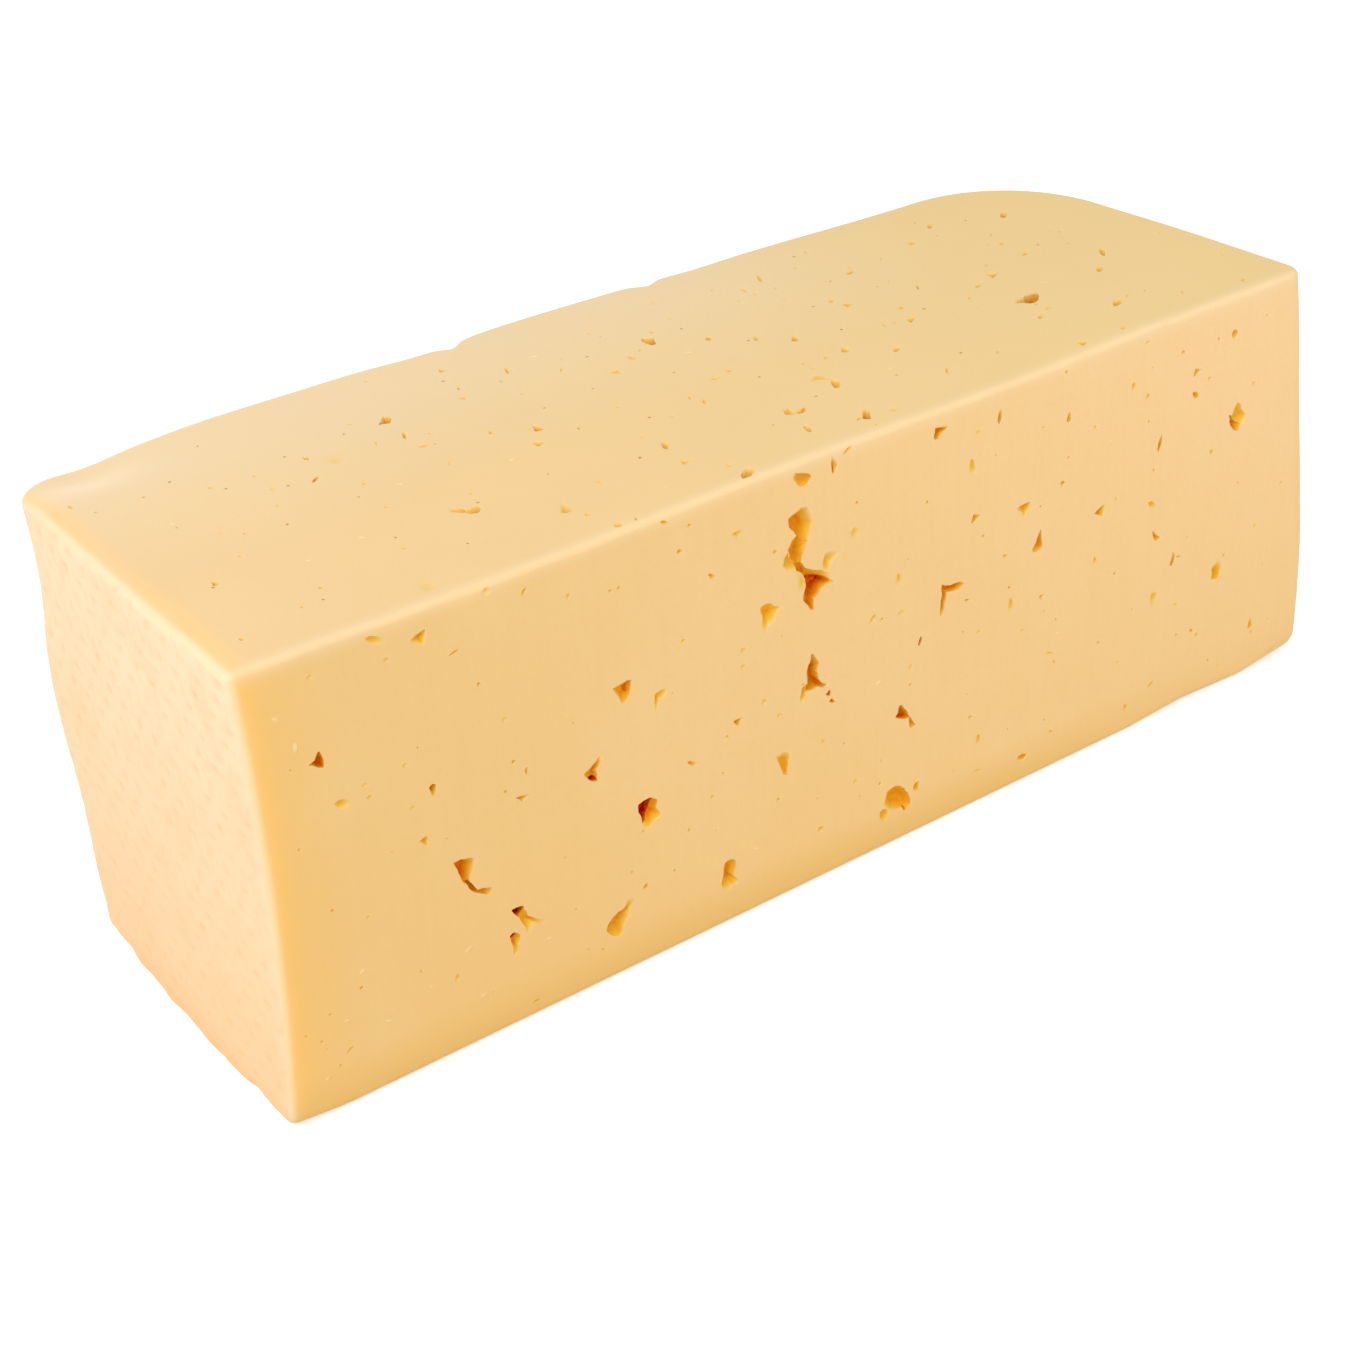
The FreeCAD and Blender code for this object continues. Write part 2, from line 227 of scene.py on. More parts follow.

# ---- large eyes and the deep pockets inside them, on the front: mouth corners (along, down), then
# the lowest place, how deep, how dark its painted shade from 0 to 1, how upright its walls from 0 to 1 ----
FRONT_HOLLOWS = hollow_rows("""
    12.6 23.9, 14 23.4, 14.8 22, 15.2 21.7, 15.7 23.2, 15.7 25.9, 14.8 25.5, 13.6 24.4 | 14.8 24.2 1.8 0.76
      0.7;
    40 60, 41.8 59.8, 43.4 60.4, 44.8 60.9, 44.5 62.8, 43.5 65, 43 66.6, 42.2 66.6, 41.4 64.4, 40.8 62 |
      41.8 63.2 2.8 0.68 0.3;
    42.1 65.6, 43.1 65.8, 44.1 67.5, 45.1 69.2, 46.7 69.7, 48.1 70, 48.2 71.2, 47.6 71.7, 46.2 70.9, 44.6
      69.9, 43 67.9 | 44.4 69.2 1.8 0.58 0.5;
    53.4 79.4, 55.2 79.2, 56.2 81.6, 58.2 83.4, 60.2 85.2, 59.6 85.6, 57.6 84.2, 56.6 85.8, 55.8 86.6, 55.6
      84.4, 54.6 82.4 | 55 81.4 1 0.48 0.2;
    52.3 78.2, 54 78.1, 55.3 78.4, 55.2 80, 54.7 80.8, 53.8 80.7, 53 79.6 | 53.9 79.2 2.6 1 1;
    51.7 84.8, 52.4 84.4, 53.2 84.7, 54.2 85.4, 54.2 87, 53.6 88.2, 53.4 90.4, 52.8 90.9, 52.3 90.2, 52.4
      88, 51.9 86.2 | 52.7 85.8 1.1 0.58 0.2;
    51.6 84.8, 52.4 84.2, 53.3 84.6, 53.7 85.4, 53 86.2, 52 86.2 | 52.5 85.3 2.2 0.94 1;
    71.6 52.4, 73.2 51.6, 74.6 50.6, 76 49.4, 76.1 50.8, 75.4 51.9, 74.6 52.4, 74.9 54, 74.6 55.3, 73 54.4,
      72.2 53.6 | 73.9 53 1.3 0.54 0.3;
    72.5 54, 73.7 54.1, 74.7 54.4, 74.8 55.5, 73.4 55 | 73.8 54.6 1.8 0.93 1;
    75.2 95.4, 75.8 93.8, 76.8 92.6, 78.2 91.7, 80 91.2, 81.2 89.2, 82 89.4, 82.9 90.2, 82 91.4, 81.4 92.6,
      81.3 94.2, 80 95.4, 79.4 96.6, 79 98.6, 77.8 98.4, 76.8 97.6 | 77.9 94.4 1.7 0.5 0.2;
    75.6 94.8, 76.3 93.2, 77.3 92.3, 78.8 91.5, 79 92.2, 78.2 93.7, 77 95.4, 76.2 95.8 | 77.2 93.8 2.8 0.84
      0.8;
    80.2 34.9, 82 34.7, 84 34.4, 85.2 34.8, 84.8 36.4, 84.3 38.1, 83.4 39.2, 82.2 39.6, 81.8 38, 81 36.4 |
      83.6 36.6 1.6 0.48 0.4;
    83.5 36, 84.7 35.6, 84.3 38, 83.4 37.8 | 84 36.8 1.8 0.74 0.6;
    90.4 40.4, 92 40, 93.6 40.6, 93 41.8, 91.4 42.2, 90.8 44, 90.2 45.4, 90 43 | 91 41.2 0.7 0.36 0;
    84.4 65.9, 87.2 65.4, 88.6 66.2, 89.3 66.8, 88.7 68.6, 89.6 70.2, 89.9 71.3, 88 71.9, 87.2 73.3, 86.2
      73.2, 85 71.8, 84.9 70 | 87.4 69 1.4 0.66 0.2;
    84.2 65.9, 85.6 65.4, 87.2 65.3, 88.4 66, 87.9 67.8, 87 69.6, 86.2 71.2, 85 71.2, 84.8 69, 84.2 67.8 |
      86.1 67.8 3 1 1;
    106.4 91.9, 107.6 91.6, 109.4 92.6, 109.6 95, 109.2 97.4, 110.4 98.8, 109.4 100, 108.2 99.4, 107.6
      100.1, 106.2 99.4, 105.4 97.4, 105.9 95.4, 106.1 93.4 | 107.1 95.4 1.8 0.56 0.25;
    106.3 92.2, 107.4 92.4, 107.4 95, 106.9 97, 106.1 96.6, 106 94.4 | 106.7 94.6 3 0.83 0.8;
    118.8 30.4, 120.4 30, 121.8 30.4, 122.6 31.4, 124.2 32.2, 122.8 33.6, 122.2 35.2, 120.2 36, 119.6 37.4,
      118.8 36, 118.9 33.8 | 120.6 32.4 1.1 0.5 0;
    120.6 69.2, 122.4 69, 124 69.8, 124.4 71.2, 124 73.4, 123.8 75.9, 122.8 75.6, 122.2 73.8, 121.2 71.4 |
      123.2 72.6 1.2 0.42 0.2;
    131 2.2, 133 2.8, 134.8 3.6, 135.4 4.6, 133.6 6.1, 132.2 6, 131 4.6, 130.3 3.4 | 133.6 4.7 1.4 0.36 0.35;
    141 1.6, 142 2.6, 142.6 4.4, 141.6 5.3, 141.2 5.9, 140.8 5.4, 140.8 3.2 | 141.3 4.2 0.9 0.34 0.1;
    140.8 3.2, 141.5 3.1, 141.8 4.6, 141.2 5.8, 140.8 5.4 | 141.2 4.4 1.4 0.7 0.7;
    128 12.2, 130 11.4, 131.5 10.7, 133.2 10.8, 133.8 12.5, 134.6 15, 133.5 17.5, 132.3 20, 130.6 22.3,
      129.7 21, 130 17, 129.2 15.6, 128 14 | 130.8 15.4 2.8 0.56 0.25;
    128.1 12.8, 130.2 12.4, 131 13.2, 130.5 14.6, 129.9 16.2, 129.2 15.4, 128.1 14 | 129.6 13.7 2.8 0.74 0.4;
    130.2 16.6, 128.4 17.6, 127.2 19.3, 127.4 21.5, 128.8 24, 129.8 24.8, 131 21.8, 132.6 19.5, 133.4 16,
      132.6 13.6, 130.8 14.2 | 130 19.6 2.5 0.54 0.3;
    127.3 19.8, 126 21, 125.5 22.7, 126.6 24, 129.4 24.8, 129 23.4, 127.6 21.6 | 127.2 22.4 0.8 0.32 0.3;
    128.6 22.4, 130 22.8, 131.2 25, 133.6 26.5, 136 27.3, 137.6 28.6, 138 30.2, 139 31.6, 137 31.6, 135.4
      31.3, 134 33, 133 33.8, 131.6 33.4, 130.2 32.6, 131.2 29.5, 130.8 27, 128.8 25 | 132.6 29 2.2 0.56 0.3;
    131.7 28.2, 133.4 28, 135.6 28.8, 137.6 30.2, 138 31, 136.3 31.2, 135 31.9, 133.9 33.2, 132.6 33.7,
      131.9 31.5 | 133.6 31 3.6 0.84 0.8;
    130.3 31.4, 131.8 30.8, 133.4 32, 133.1 34, 133 36.3, 132 36, 131.2 34.4, 130.1 32.9 | 132.2 33.6 2.2
      0.54 0.5;
    129 25.2, 131.2 26.4, 131.8 28.6, 130.8 32, 128.8 31, 128.9 28 | 130.6 28.6 0.5 0.16 0;
    136.3 27.5, 136.2 25.2, 136.9 23.8, 138.4 23.6, 141.2 24.4, 139.8 25.8, 138 27, 137.6 28.6 | 136.9 25.8
      0.8 0.26 0.1;
    131.2 47.2, 131.9 47, 132.5 48.2, 133.5 50.2, 132.8 52.2, 133.1 54, 133.9 55.4, 135.4 56.4, 134.6 57.1,
      132.8 56.2, 131 56.4, 129.9 56, 130 54.2, 130 52, 130.1 50.4, 131 48.8 | 131.9 53.2 2.8 0.64 0.55;
    129.8 54, 128.4 54.6, 127.8 56.8, 128 58.8, 129.2 58.2, 129.8 56.4, 131.6 56.2 | 129.1 56 0.9 0.34 0.1;
    134.9 59, 136 58.2, 136.4 58.6, 136.1 60, 135.4 59.5 | 135.8 59.1 1.4 0.72 0.7;
    135.8 61.2, 136.6 60.7, 137.2 61.6, 137.9 62.2, 136.8 62.2, 136.2 61.7 | 136.6 61.4 0.9 0.5 0.3;
    152.2 93.6, 153.6 93.1, 155 92.9, 156.6 93.6, 157.8 94.8, 159 96.8, 159.8 98.8, 159.8 100.8, 158.4
      100.9, 157.2 100.2, 155.6 100, 153.8 99.4, 152.2 98, 151.6 96.6, 152 95.2 | 156.9 97.4 2.2 0.5 0.4;
    150.4 98.6, 151.6 97.9, 153 99.4, 152.8 101.6, 152.2 102, 151.2 101.4, 150.4 100.4 | 151.8 99.8 0.9 0.34
      0.2;
    157.2 100.1, 158.2 100.3, 158.3 101.4, 157.6 101.3 | 157.8 100.8 1.1 0.7 0.6;
    160.9 94.8, 162.2 94.6, 162.2 96, 162 97.8, 161 97.2, 160.2 96.2 | 161.4 96.2 0.8 0.36 0.2;
    156 70.9, 156.8 71, 158.2 73.2, 158.8 74.8, 159.3 75.6, 158.2 75.3, 156.6 74.6, 154.7 73.6, 155.6 72.6 |
      157.1 73.6 2 0.64 0.5;
    154.8 73.5, 156.2 73.8, 158.6 74.9, 158.7 75.4, 157 75, 155.4 74.2 | 156.8 74.4 1.9 0.88 0.9;
    158.8 75, 159.5 75.6, 160.2 77.2, 161 78.4, 159.2 78.6, 158.9 77.2 | 159.5 77.2 1.1 0.44 0.4;
    169.2 43.4, 170.2 44.4, 170.6 46.6, 170 48.6, 169.6 51, 168.8 52.2, 168.2 51.6, 168.6 49, 169.2 46.4 |
      169.4 47.6 1.7 0.6 0.35;
    169.3 43.8, 170.4 44.2, 171.8 44.7, 173.6 44.6, 175.2 44.9, 176 46, 174.6 46.6, 172.8 46.6, 171 46.2,
      169.6 45.6 | 172.2 45.5 1.7 0.68 0.35;
    170.1 4.4, 171.6 4.6, 173.2 4.9, 174 5.4, 172.8 6, 171.4 6.4, 170.8 7.2, 169.8 7.2, 169.5 6.4 | 170.6
      5.8 1.5 0.66 0.35;
    199.9 39.9, 200.1 41.8, 200.4 44, 200.3 45.2, 199.2 45.6, 197.8 45.7, 196.8 44.8, 198.2 43, 199 41.4 |
      199.4 43.2 1.7 0.52 0.3;
    236.2 53.4, 236.9 53.9, 237.8 55.2, 239 56.2, 238.6 57, 237.4 56.8, 236.6 55.4 | 237.4 55.7 0.9 0.46 0.2;
    243.4 62, 244 62.4, 244.2 63.6, 243.8 65.2, 243.3 66, 242.4 65.6, 243 64 | 243.3 64.4 1.1 0.5 0.3;
    263.2 30.6, 264.4 31.2, 265.4 32.6, 266.6 33.6, 267.6 34.4, 266.6 36.2, 265.2 35.6, 263.8 33.8 | 265
      33.6 2.2 0.66 0.3;
    264 32.6, 264.4 31.2, 265.4 29.4, 266.4 28.2, 267.4 28.8, 268 30.6, 269.4 32.2, 269.2 33.4, 268 34.6,
      266.6 35.2, 265 34.4 | 266.9 31.9 1.2 0.36 0.2
""")

# ---- eyes of the top: (mouth, along, from the back, wide, long, deep, turn, side that falls steeply) ----
TOP_EYES = eye_rows("""
    slit 7.2 22.3 2.8 1.2 0.6 85 180; round 10.2 28.3 0.9 0.9 0.5; round 20.8 28.5 0.9 0.9 0.5; round 33.5
    34 1.7 1.4 0.35; round 43 35.3 1.1 1 0.35; slit 55.4 34.7 2.8 1.2 1.3 78 270; round 59.8 39.2 5 6.4 0.22
    0 270; slit 51.9 45.6 3.8 1.2 0.9 35 90; round 43 43.5 1.5 1.4 0.35; round 40.3 51 1.2 1.1 0.35; slit
    25.7 54.2 1.9 1 0.35 -40 90; round 58.8 54.5 1.3 2 0.35; slit 71.3 25.7 2 0.9 0.4 -15 90; slit 70.5 38.8
    2.2 0.7 0.35 70 90; drop 15.2 72.7 1.5 2.4 1.4 0 200; round 9 96.7 1.2 1.5 0.5; round 46 100.5 4.6 7
    0.22 0 270; round 56.8 67 1.3 1.3 0.35; round 29.4 57.8 1.2 1.2 0.35; round 30 88.5 1.6 1.2 0.4; round
    24.2 66 1 1 0.35; round 23.4 93.2 0.8 0.9 0.4; slit 73 73.5 1.8 0.7 0.35 80 90; round 50.5 85 1.2 1.4
    0.3; slit 77.3 39.2 4.6 1.2 0.9 60 180; slit 77.5 47 3.6 1.9 0.4 -10 90; round 82 42.5 1.4 1.2 0.3;
    round 86 7 1.7 1.4 0.3; drop 102 13.6 2.1 3.2 0.7 -20 230; wedge 97.3 31.4 2.8 3.2 0.6 0 180; slit 99.4
    25.6 2.4 1 0.7 50 200; slit 113.1 24.6 4.8 1.3 0.8 62 200; slit 92 51 2.6 1.1 0.8 60 200; drop 100.8
    55.7 2.4 4.2 1.7 -12 250; slit 122.5 33 2.8 0.8 0.3 40 90; round 126 28 1.4 1.3 0.3; slit 139.5 19.5 2.4
    1 0.3 65 90; wedge 131.4 42.8 3 3.4 0.9 0 180; round 139 38.2 3.1 3.5 0.45 0 180; slit 142.6 36 1.8 1
    0.3 30 90; round 108.7 38.2 1.6 1.4 0.3; slit 108.7 29 2.4 0.6 0.3 60 90; wedge 96.7 62.2 3.4 3.6 0.9
    200 220; round 77.2 58.5 1.5 1.2 0.35; round 120.5 58.8 1.4 1.5 0.35; drop 84 91.5 3 5.4 0.8 -22 250;
    wedge 96 87 2.7 2.6 0.45 0 180; round 86 97 1.7 1.4 0.4; round 88.3 104.7 2.5 2.2 0.9 0 200; slit 92.2
    105.3 1.8 0.9 0.6 45 90; slit 116.3 82 4.9 1.8 1.4 58 220; wedge 114.8 91.2 3.6 3 0.6 190 180; round
    120.7 99 2.1 1.7 0.5 0 200; round 145.7 60.8 2.7 2.3 0.5 0 270; slit 134.8 66.2 3.2 0.9 0.35 60 90; slit
    136 70 3.4 1.1 0.6 58 90; slit 144.1 96 4.6 1.7 1.6 62 220; slit 126.3 71 2.2 1.2 0.3 60 90; slit 115
    75.5 1.9 0.8 0.3; slit 151.2 28.8 1.9 1.2 1.1 35 220; slit 158.5 41.6 3.2 2 0.9 45 90; drop 162.3 13.7
    1.3 1.7 0.4; round 159 25 1.2 1 0.3; slit 166.6 49 4.6 1.4 0.7 60 250; drop 183.8 22.5 1.7 3.3 0.5;
    round 184.3 26.3 1.9 1.4 0.3; slit 178.5 27.5 1.8 0.8 0.3 50 90; slit 191.8 18.4 6.8 1.4 0.9 60 200;
    slit 194.7 43 2.4 1.6 1.1 35 220; wedge 195.7 47.6 3.2 3.2 0.9 200 90; slit 210.6 31.1 4.2 1.8 0.9 22
    270; slit 212.6 28.8 2 1 0.3 50 90; slit 187 34.5 2.2 0.8 0.3 65 90; slit 211.5 12.5 2.2 1 0.35 55 90;
    slit 213.2 43 1.6 0.8 0.3 45 90; slit 215.7 51 3.6 0.9 0.8 52 90; slit 202.5 19.5 2 0.9 0.3 45 90; drop
    173.2 55.4 2.1 4.4 1.2 -32 230; wedge 150.6 59.4 3 2.8 0.6 200 200; slit 171.3 69.5 2.4 1.3 0.4 30 90;
    slit 165.3 68.5 1.6 0.8 0.35 30 90; round 165.3 72 1.2 1.4 0.35; drop 177.5 68.4 2.3 4 1 -28 230; slit
    186.4 76.5 3.6 1.9 1 28 270; slit 187 93.4 4.2 0.9 0.6 52 90; slit 194 63.5 3.6 1.3 0.5 52 200; slit
    196.7 64.2 1.8 0.8 0.3 50 90; wedge 200.9 64.8 4.8 2.8 1.2 208 220; slit 204 58 3 1.7 0.7 25 270; slit
    187 56.5 1.6 0.8 0.3 -30 90; slit 202.7 93.3 2.2 0.8 0.4 45 90; slit 155.4 99.7 2.4 0.7 0.6 12 90; round
    164.3 101 2.1 1.6 0.7 0 200; round 156.7 104.3 1.6 1.2 0.35; wedge 220.3 102.1 3.1 3.4 1.8 200 250; slit
    220.3 64.7 2.2 1.2 0.5 30 90; slit 224.3 85 3.6 1.6 0.8 28 200; round 209.5 72.5 0.9 0.8 0.35; round
    217.3 72.3 1 0.8 0.35; slit 235.4 26 3.2 2.3 0.9 30 230; slit 247.4 19.6 4.6 1.8 1.3 42 220; slit 267.2
    26.6 5.8 2.3 2.1 40 220; slit 246 15.5 2.6 0.9 0.3 45 90; slit 251.9 42.2 3.8 1.5 0.6 48 200; slit 248.7
    40.5 1.4 0.8 0.3 30 90; round 267.5 44 2 1.6 0.4 0 200; slit 268.5 46.3 2.6 1.2 0.6 45 200; round 265.5
    42 1.1 1.5 0.3; slit 258 49.3 3 1 0.5 40 200; slit 251.1 51.7 3 1.6 1 20 250; slit 238.8 50.8 3 1.4 0.5
    10 250; wedge 235 56.3 4.6 3.6 1.4 205 230; slit 263.7 54.5 1.6 0.8 0.3 40 90; slit 227.4 59.9 3.2 1.7
    0.9 20 250; slit 229.3 82.2 3.2 1.7 0.5 30 250; slit 243.7 91.3 5.6 2.5 1.4 18 200; slit 248.2 90 2.4
    0.9 0.3 25 90; slit 256.7 72.6 4.4 2.1 1.2 22 200; slit 265.8 64.2 6.8 1.6 1.5 50 230; slit 259.5 97.5
    2.8 0.9 0.4 50 90; slit 276 102 2.6 1.3 0.6 28 90; slit 233.5 103 3 1.3 0.5 22 200; slit 286 65 1.6 0.9
    0.3 45 90; round 286 86.5 1.7 1.3 0.35
""")

TOP_HOLLOWS = hollow_rows("""
    65.1 77.4, 66.4 76.3, 67.7 77.4, 68.3 79.2, 67.4 80, 66.2 78.7 | 67.2 78.7 1.1 0.42 0.2;
    67.5 78.3, 69.2 78.6, 71.4 79, 71 80.7, 69.8 81.8, 68.3 81.3, 67.3 79.6 | 69.9 80.3 0.9 0.36 0.2;
    79 26.6, 79.7 28.5, 79.2 30.3, 78 31.4, 76.7 30.7, 75.4 30.7, 77.3 28.8 | 78.3 29.7 1.5 0.55 0.2;
    145.9 31.6, 147.5 29.7, 149.6 31.3, 148.7 33.3, 147.6 35.6, 146.2 35.3, 145.9 33.2 | 146.9 34 2.5 0.72
      0.2;
    118.6 106, 120.3 103.5, 122.4 102.3, 123.7 103.6, 122.6 105.2, 120.8 106.2 | 120.9 104.8 1.1 0.42 0.2;
    144.8 87.3, 146.2 84.8, 148.1 84.2, 147.5 86, 147.1 87.4, 147.3 89.1, 145.7 88.4 | 146.1 86.8 0.7 0.3
      0.2;
    146.7 87.5, 148.6 87.4, 150.6 86.8, 149.7 88.7, 147.4 89.2 | 149 88.3 0.8 0.34 0.2;
    162 83.6, 163 81, 164.6 79.3, 165.7 81, 164.7 82.8, 163 84.2 | 163.3 82 0.9 0.36 0.2;
    159.2 77.9, 161 76.3, 163 75.4, 164.5 77.6, 164.6 80, 163 78.5, 161.4 77.4 | 162.8 77 0.4 0.2 0.2;
    160.5 96.1, 160.4 97.6, 158.7 99.7, 157.4 101.4, 156.1 100.2, 157.3 98.6, 158.8 97 | 157.3 99.9 1.4 0.5
      0.2;
    225.6 74.9, 227 73.3, 228.6 73.8, 231 72.6, 233 72.9, 234.5 73.2, 233.3 75.2, 231.5 76.8, 229.5 77.8,
      228 77.3, 227.2 75.7 | 230.8 75 2.1 0.6 0.2
""")

# ---- the rind's dimples and soft unevenness; the scales are repeats in a metre ----
DIMPLE_WARP = 0.0022              # how far their rows wander, in metres
DIMPLE_SQUASH = 0.62              # their height, of their width
WARP_SCALE = 60.0
PRESSED_SCALE = 150.0             # of the patches that are pressed deeper
UNEVEN_SCALE = 45.0

# ---- thin pale flakes left on the cut faces: (along, down or from the back, long, wide, turn) ----
FRONT_FLAKES = [
    (8.0, 11.7, 1.9, 0.8, 35), (10.7, 19.0, 1.3, 2.6, 8), (18.0, 76.5, 1.7, 0.6, -30),
    (14.0, 87.0, 1.4, 0.7, 20), (42.0, 83.0, 2.4, 0.7, -35), (23.0, 92.0, 1.8, 0.6, 25),
    (45.0, 97.0, 2.0, 0.6, -15), (33.0, 88.5, 1.5, 0.5, 50), (61.0, 90.0, 1.6, 0.6, 15),
    (9.0, 99.5, 1.5, 0.6, -20), (69.5, 30.0, 1.3, 0.5, 70), (115.0, 92.0, 2.2, 0.7, 25),
    (150.0, 62.0, 1.6, 0.5, -20), (205.0, 70.5, 2.4, 0.7, 10), (223.0, 25.0, 1.5, 0.5, 40),
]
TOP_FLAKES = [
    (122.0, 22.0, 2.4, 0.8, 20), (33.5, 77.0, 1.6, 0.9, 0), (46.2, 75.5, 1.9, 0.9, 30),
    (64.0, 60.0, 2.0, 0.6, 60), (88.0, 66.0, 1.6, 0.5, 10), (150.0, 45.0, 1.8, 0.6, 55),
    (178.0, 84.0, 1.8, 0.6, 30), (240.0, 70.0, 2.0, 0.6, 45), (20.0, 44.0, 1.6, 0.6, 80),
    (105.0, 98.0, 1.7, 0.6, 15),
]
FLAKE_THICK = 0.14
FLAKE_SUNK = 0.3
FLAKE_SIDES = 9

# ---- how an eye is shaped below its mouth ----
EYE_RISE = 1.2                    # how far a cutter stands out of the cut face
EYE_LIP = 0.32                    # width of the worn lip on a mouth's steep side
LIP_DROP = 0.08                   # how far the mouth lies below the cut face there
SMALL_DEPTH = 0.62                # a small eye's real depth, of the depth that its painted shade comes from
EYE_FLOOR = 0.20                  # size of an eye's floor, of its mouth
POCKET_FLOOR = 0.86               # the same for a dark pocket with upright walls
EYE_STEEP = 0.36                  # how far the floor lies to the steep side, of the mouth
EYE_STEPS = (0.04, 0.13, 0.27, 0.45, 0.65, 0.85, 1.0)
FAINT_STEPS = (0.35, 0.75, 1.0)
FAINT = 0.55                      # eyes no deeper than this have no lip and fade out towards their rims
SMALL = 1.1                       # eyes no wider than this keep their plain outline
DARK_DEPTH = 1.7                  # depth at which an eye has lost most of its light
DARKEST = 0.74                    # the darkest painted shade that a small eye gets
JITTER = 0.07                     # how far the corners of a small mouth wander, of its size
RAGGED = 0.15                     # how far the rims of the large eyes wander
SMALL_SOFTNESS = 0.16             # how much of a mouth's sides is cut off at its corners
LARGE_SOFTNESS = 0.14
EYES_APART = 0.15                 # least gap between two eyes that are cut together
EYE_SEED = 11
SEARCH_REACH = 15.0               # how far off the skin is looked for
CREASE_ANGLE = 34.0               # edges sharper than this stay creases, in degrees
FACE_WEIGHT = 80

# ---- the patches of the cut faces that pinholes are scattered over, and a pinhole's shape ----
PATCHES = {"front": ((8, 280), (8, 100)), "top": ((262, 14), (12, 98))}
PATCH_CELLS = (28, 10)
PINHOLE_SIDES = 6
PINHOLE_RINGS = ((0.55, 0.45, 0.0), (0.50, 0.0, 0.0), (0.20, -0.36, 0.14))   # half width, height, drift

# ---- the materials' patterns: repeats in a metre ----
CLOUD_SCALE = 30.0
GRAIN_SCALE = 1100.0
STREAK_SCALE = 650.0
BLUSH_SCALE = 70.0
MOTTLE_SCALE = 420.0
STREAK_STRETCH = (1.0, 1.0, 0.05)

# ---- the stage: the camera's angles in degrees and its place in millimetres, the rest in metres ----
CAMERA_ANGLES = (34.743, 31.011, -3.126)       # azimuth, drop, roll
CAMERA_PLACE = (-125.84, -321.75, 308.18)
FLOOR_SIZE = 3.0
FLOOR_GAP = 0.0002
FLOOR_TINT = (0.82, 0.82, 0.82, 1.0)
FLOOR_GLOW = 0.5
LAMPS = {                                      # how far away from the block, size, tint
    "key": ((-0.75, -0.35, 0.95), (0.9, 0.9), (1.0, 0.985, 0.96)),
    "fill": ((0.55, -1.0, 0.45), (0.9, 0.7), (1.0, 1.0, 1.0)),
    "back": ((0.1, 1.3, 0.17), (0.7, 0.7), (1.0, 1.0, 1.0)),
}


def grown(level, top, foot):
    """A value between its value at the foot and its value at the top."""
    return foot + (top - foot) * level


def plan_corners(level):
    """The four square corners of the plan at a level from 0 to 1, each as its x and its y."""
    foot = 1 - level
    belly = 4 * level * foot
    right = TOP_LENGTH + RIGHT_FOOT * foot + RIGHT_BELLY * belly
    back = DEPTH + BACK_LEAN * foot + BACK_BELLY * belly
    bulge = FRONT_BELLY * belly
    return [
        np.stack([-LEFT_FOOT * foot - LEFT_BELLY_FRONT * belly, FRONT_LEAN_LEFT * foot - bulge], -1),
        np.stack([right, FRONT_SKEW + FRONT_LEAN_RIGHT * foot - bulge], -1),
        np.stack([right + BACK_SKEW, back], -1),
        np.stack([-LEFT_FOOT * foot - LEFT_BELLY_BACK * belly, back], -1),
    ]


def unit(vectors):
    return vectors / np.linalg.norm(vectors, axis=-1, keepdims=True)


def corner_parts(i, level, inset):
    """Centre, start and end of the arc that rounds plan corner i, and the angle it turns through."""
    corners = plan_corners(level)
    before = unit(corners[i - 1] - corners[i])
    after = unit(corners[(i + 1) % 4] - corners[i])
    half = np.arccos(np.clip(np.sum(before * after, -1), -1, 1)) / 2
    inward = unit(before + after)
    radius = grown(level, CORNER_RADII_TOP[i], CORNER_RADII_FOOT[i])
    radius = np.maximum(radius - inset, LEAST_RADIUS)
    corner = corners[i] + inward * (inset / np.sin(half))[..., None]
    centre = corner + inward * (radius / np.sin(half))[..., None]
    run = (radius / np.tan(half))[..., None]
    return centre, corner + before * run, corner + after * run, math.pi - 2 * half


def outline_point(part, share, level, inset):
    """A point of the plan. Even parts are corners and odd parts are sides, from the left front corner on."""
    i = part // 2
    centre, start, end, turn = corner_parts(i, level, inset)
    if part % 2:
        following = corner_parts((i + 1) % 4, level, inset)[1]
        return end + (following - end) * share[..., None]
    a = (np.sin((1 - share) * turn) / np.sin(turn))[..., None]
    b = (np.sin(share * turn) / np.sin(turn))[..., None]
    return centre + (start - centre) * a + (end - centre) * b


def side_shares(i):
    """Shares of side i at which the mesh has a column: closer beside the cut edges."""
    corners = plan_corners(np.array(1.0))
    length = float(np.linalg.norm(corners[(i + 1) % 4] - corners[i]))
    length -= CORNER_RADII_TOP[i] + CORNER_RADII_TOP[(i + 1) % 4]
    start = EDGE_RUN if SIDES[i] == "front" else (0.0,)
    stop = [length - e for e in reversed(EDGE_RUN)] if SIDES[i] == "left" else [length]
    first, last = start[-1], stop[0]
    count = max(2, round((last - first) / SIDE_STEPS[i]))
    middle = [first + (last - first) * k / count for k in range(1, count)]
    return [r / length for r in (*start, *middle, *stop)][:-1]


def columns():
    """(part, share) of every column round the block."""
    out = []
    for i in range(4):
        out += [(2 * i, k / CORNER_STEPS[i]) for k in range(CORNER_STEPS[i])]
        out += [(2 * i + 1, s) for s in side_shares(i)]
    return out


def foot_round(part, share):
    """How far the foot edge is rounded at a column."""
    knots = FOOT_ROUNDING[SIDES[part // 2]]
    if part % 2 == 0:
        return knots[0][1]
    return float(np.interp(share, *zip(*knots)))


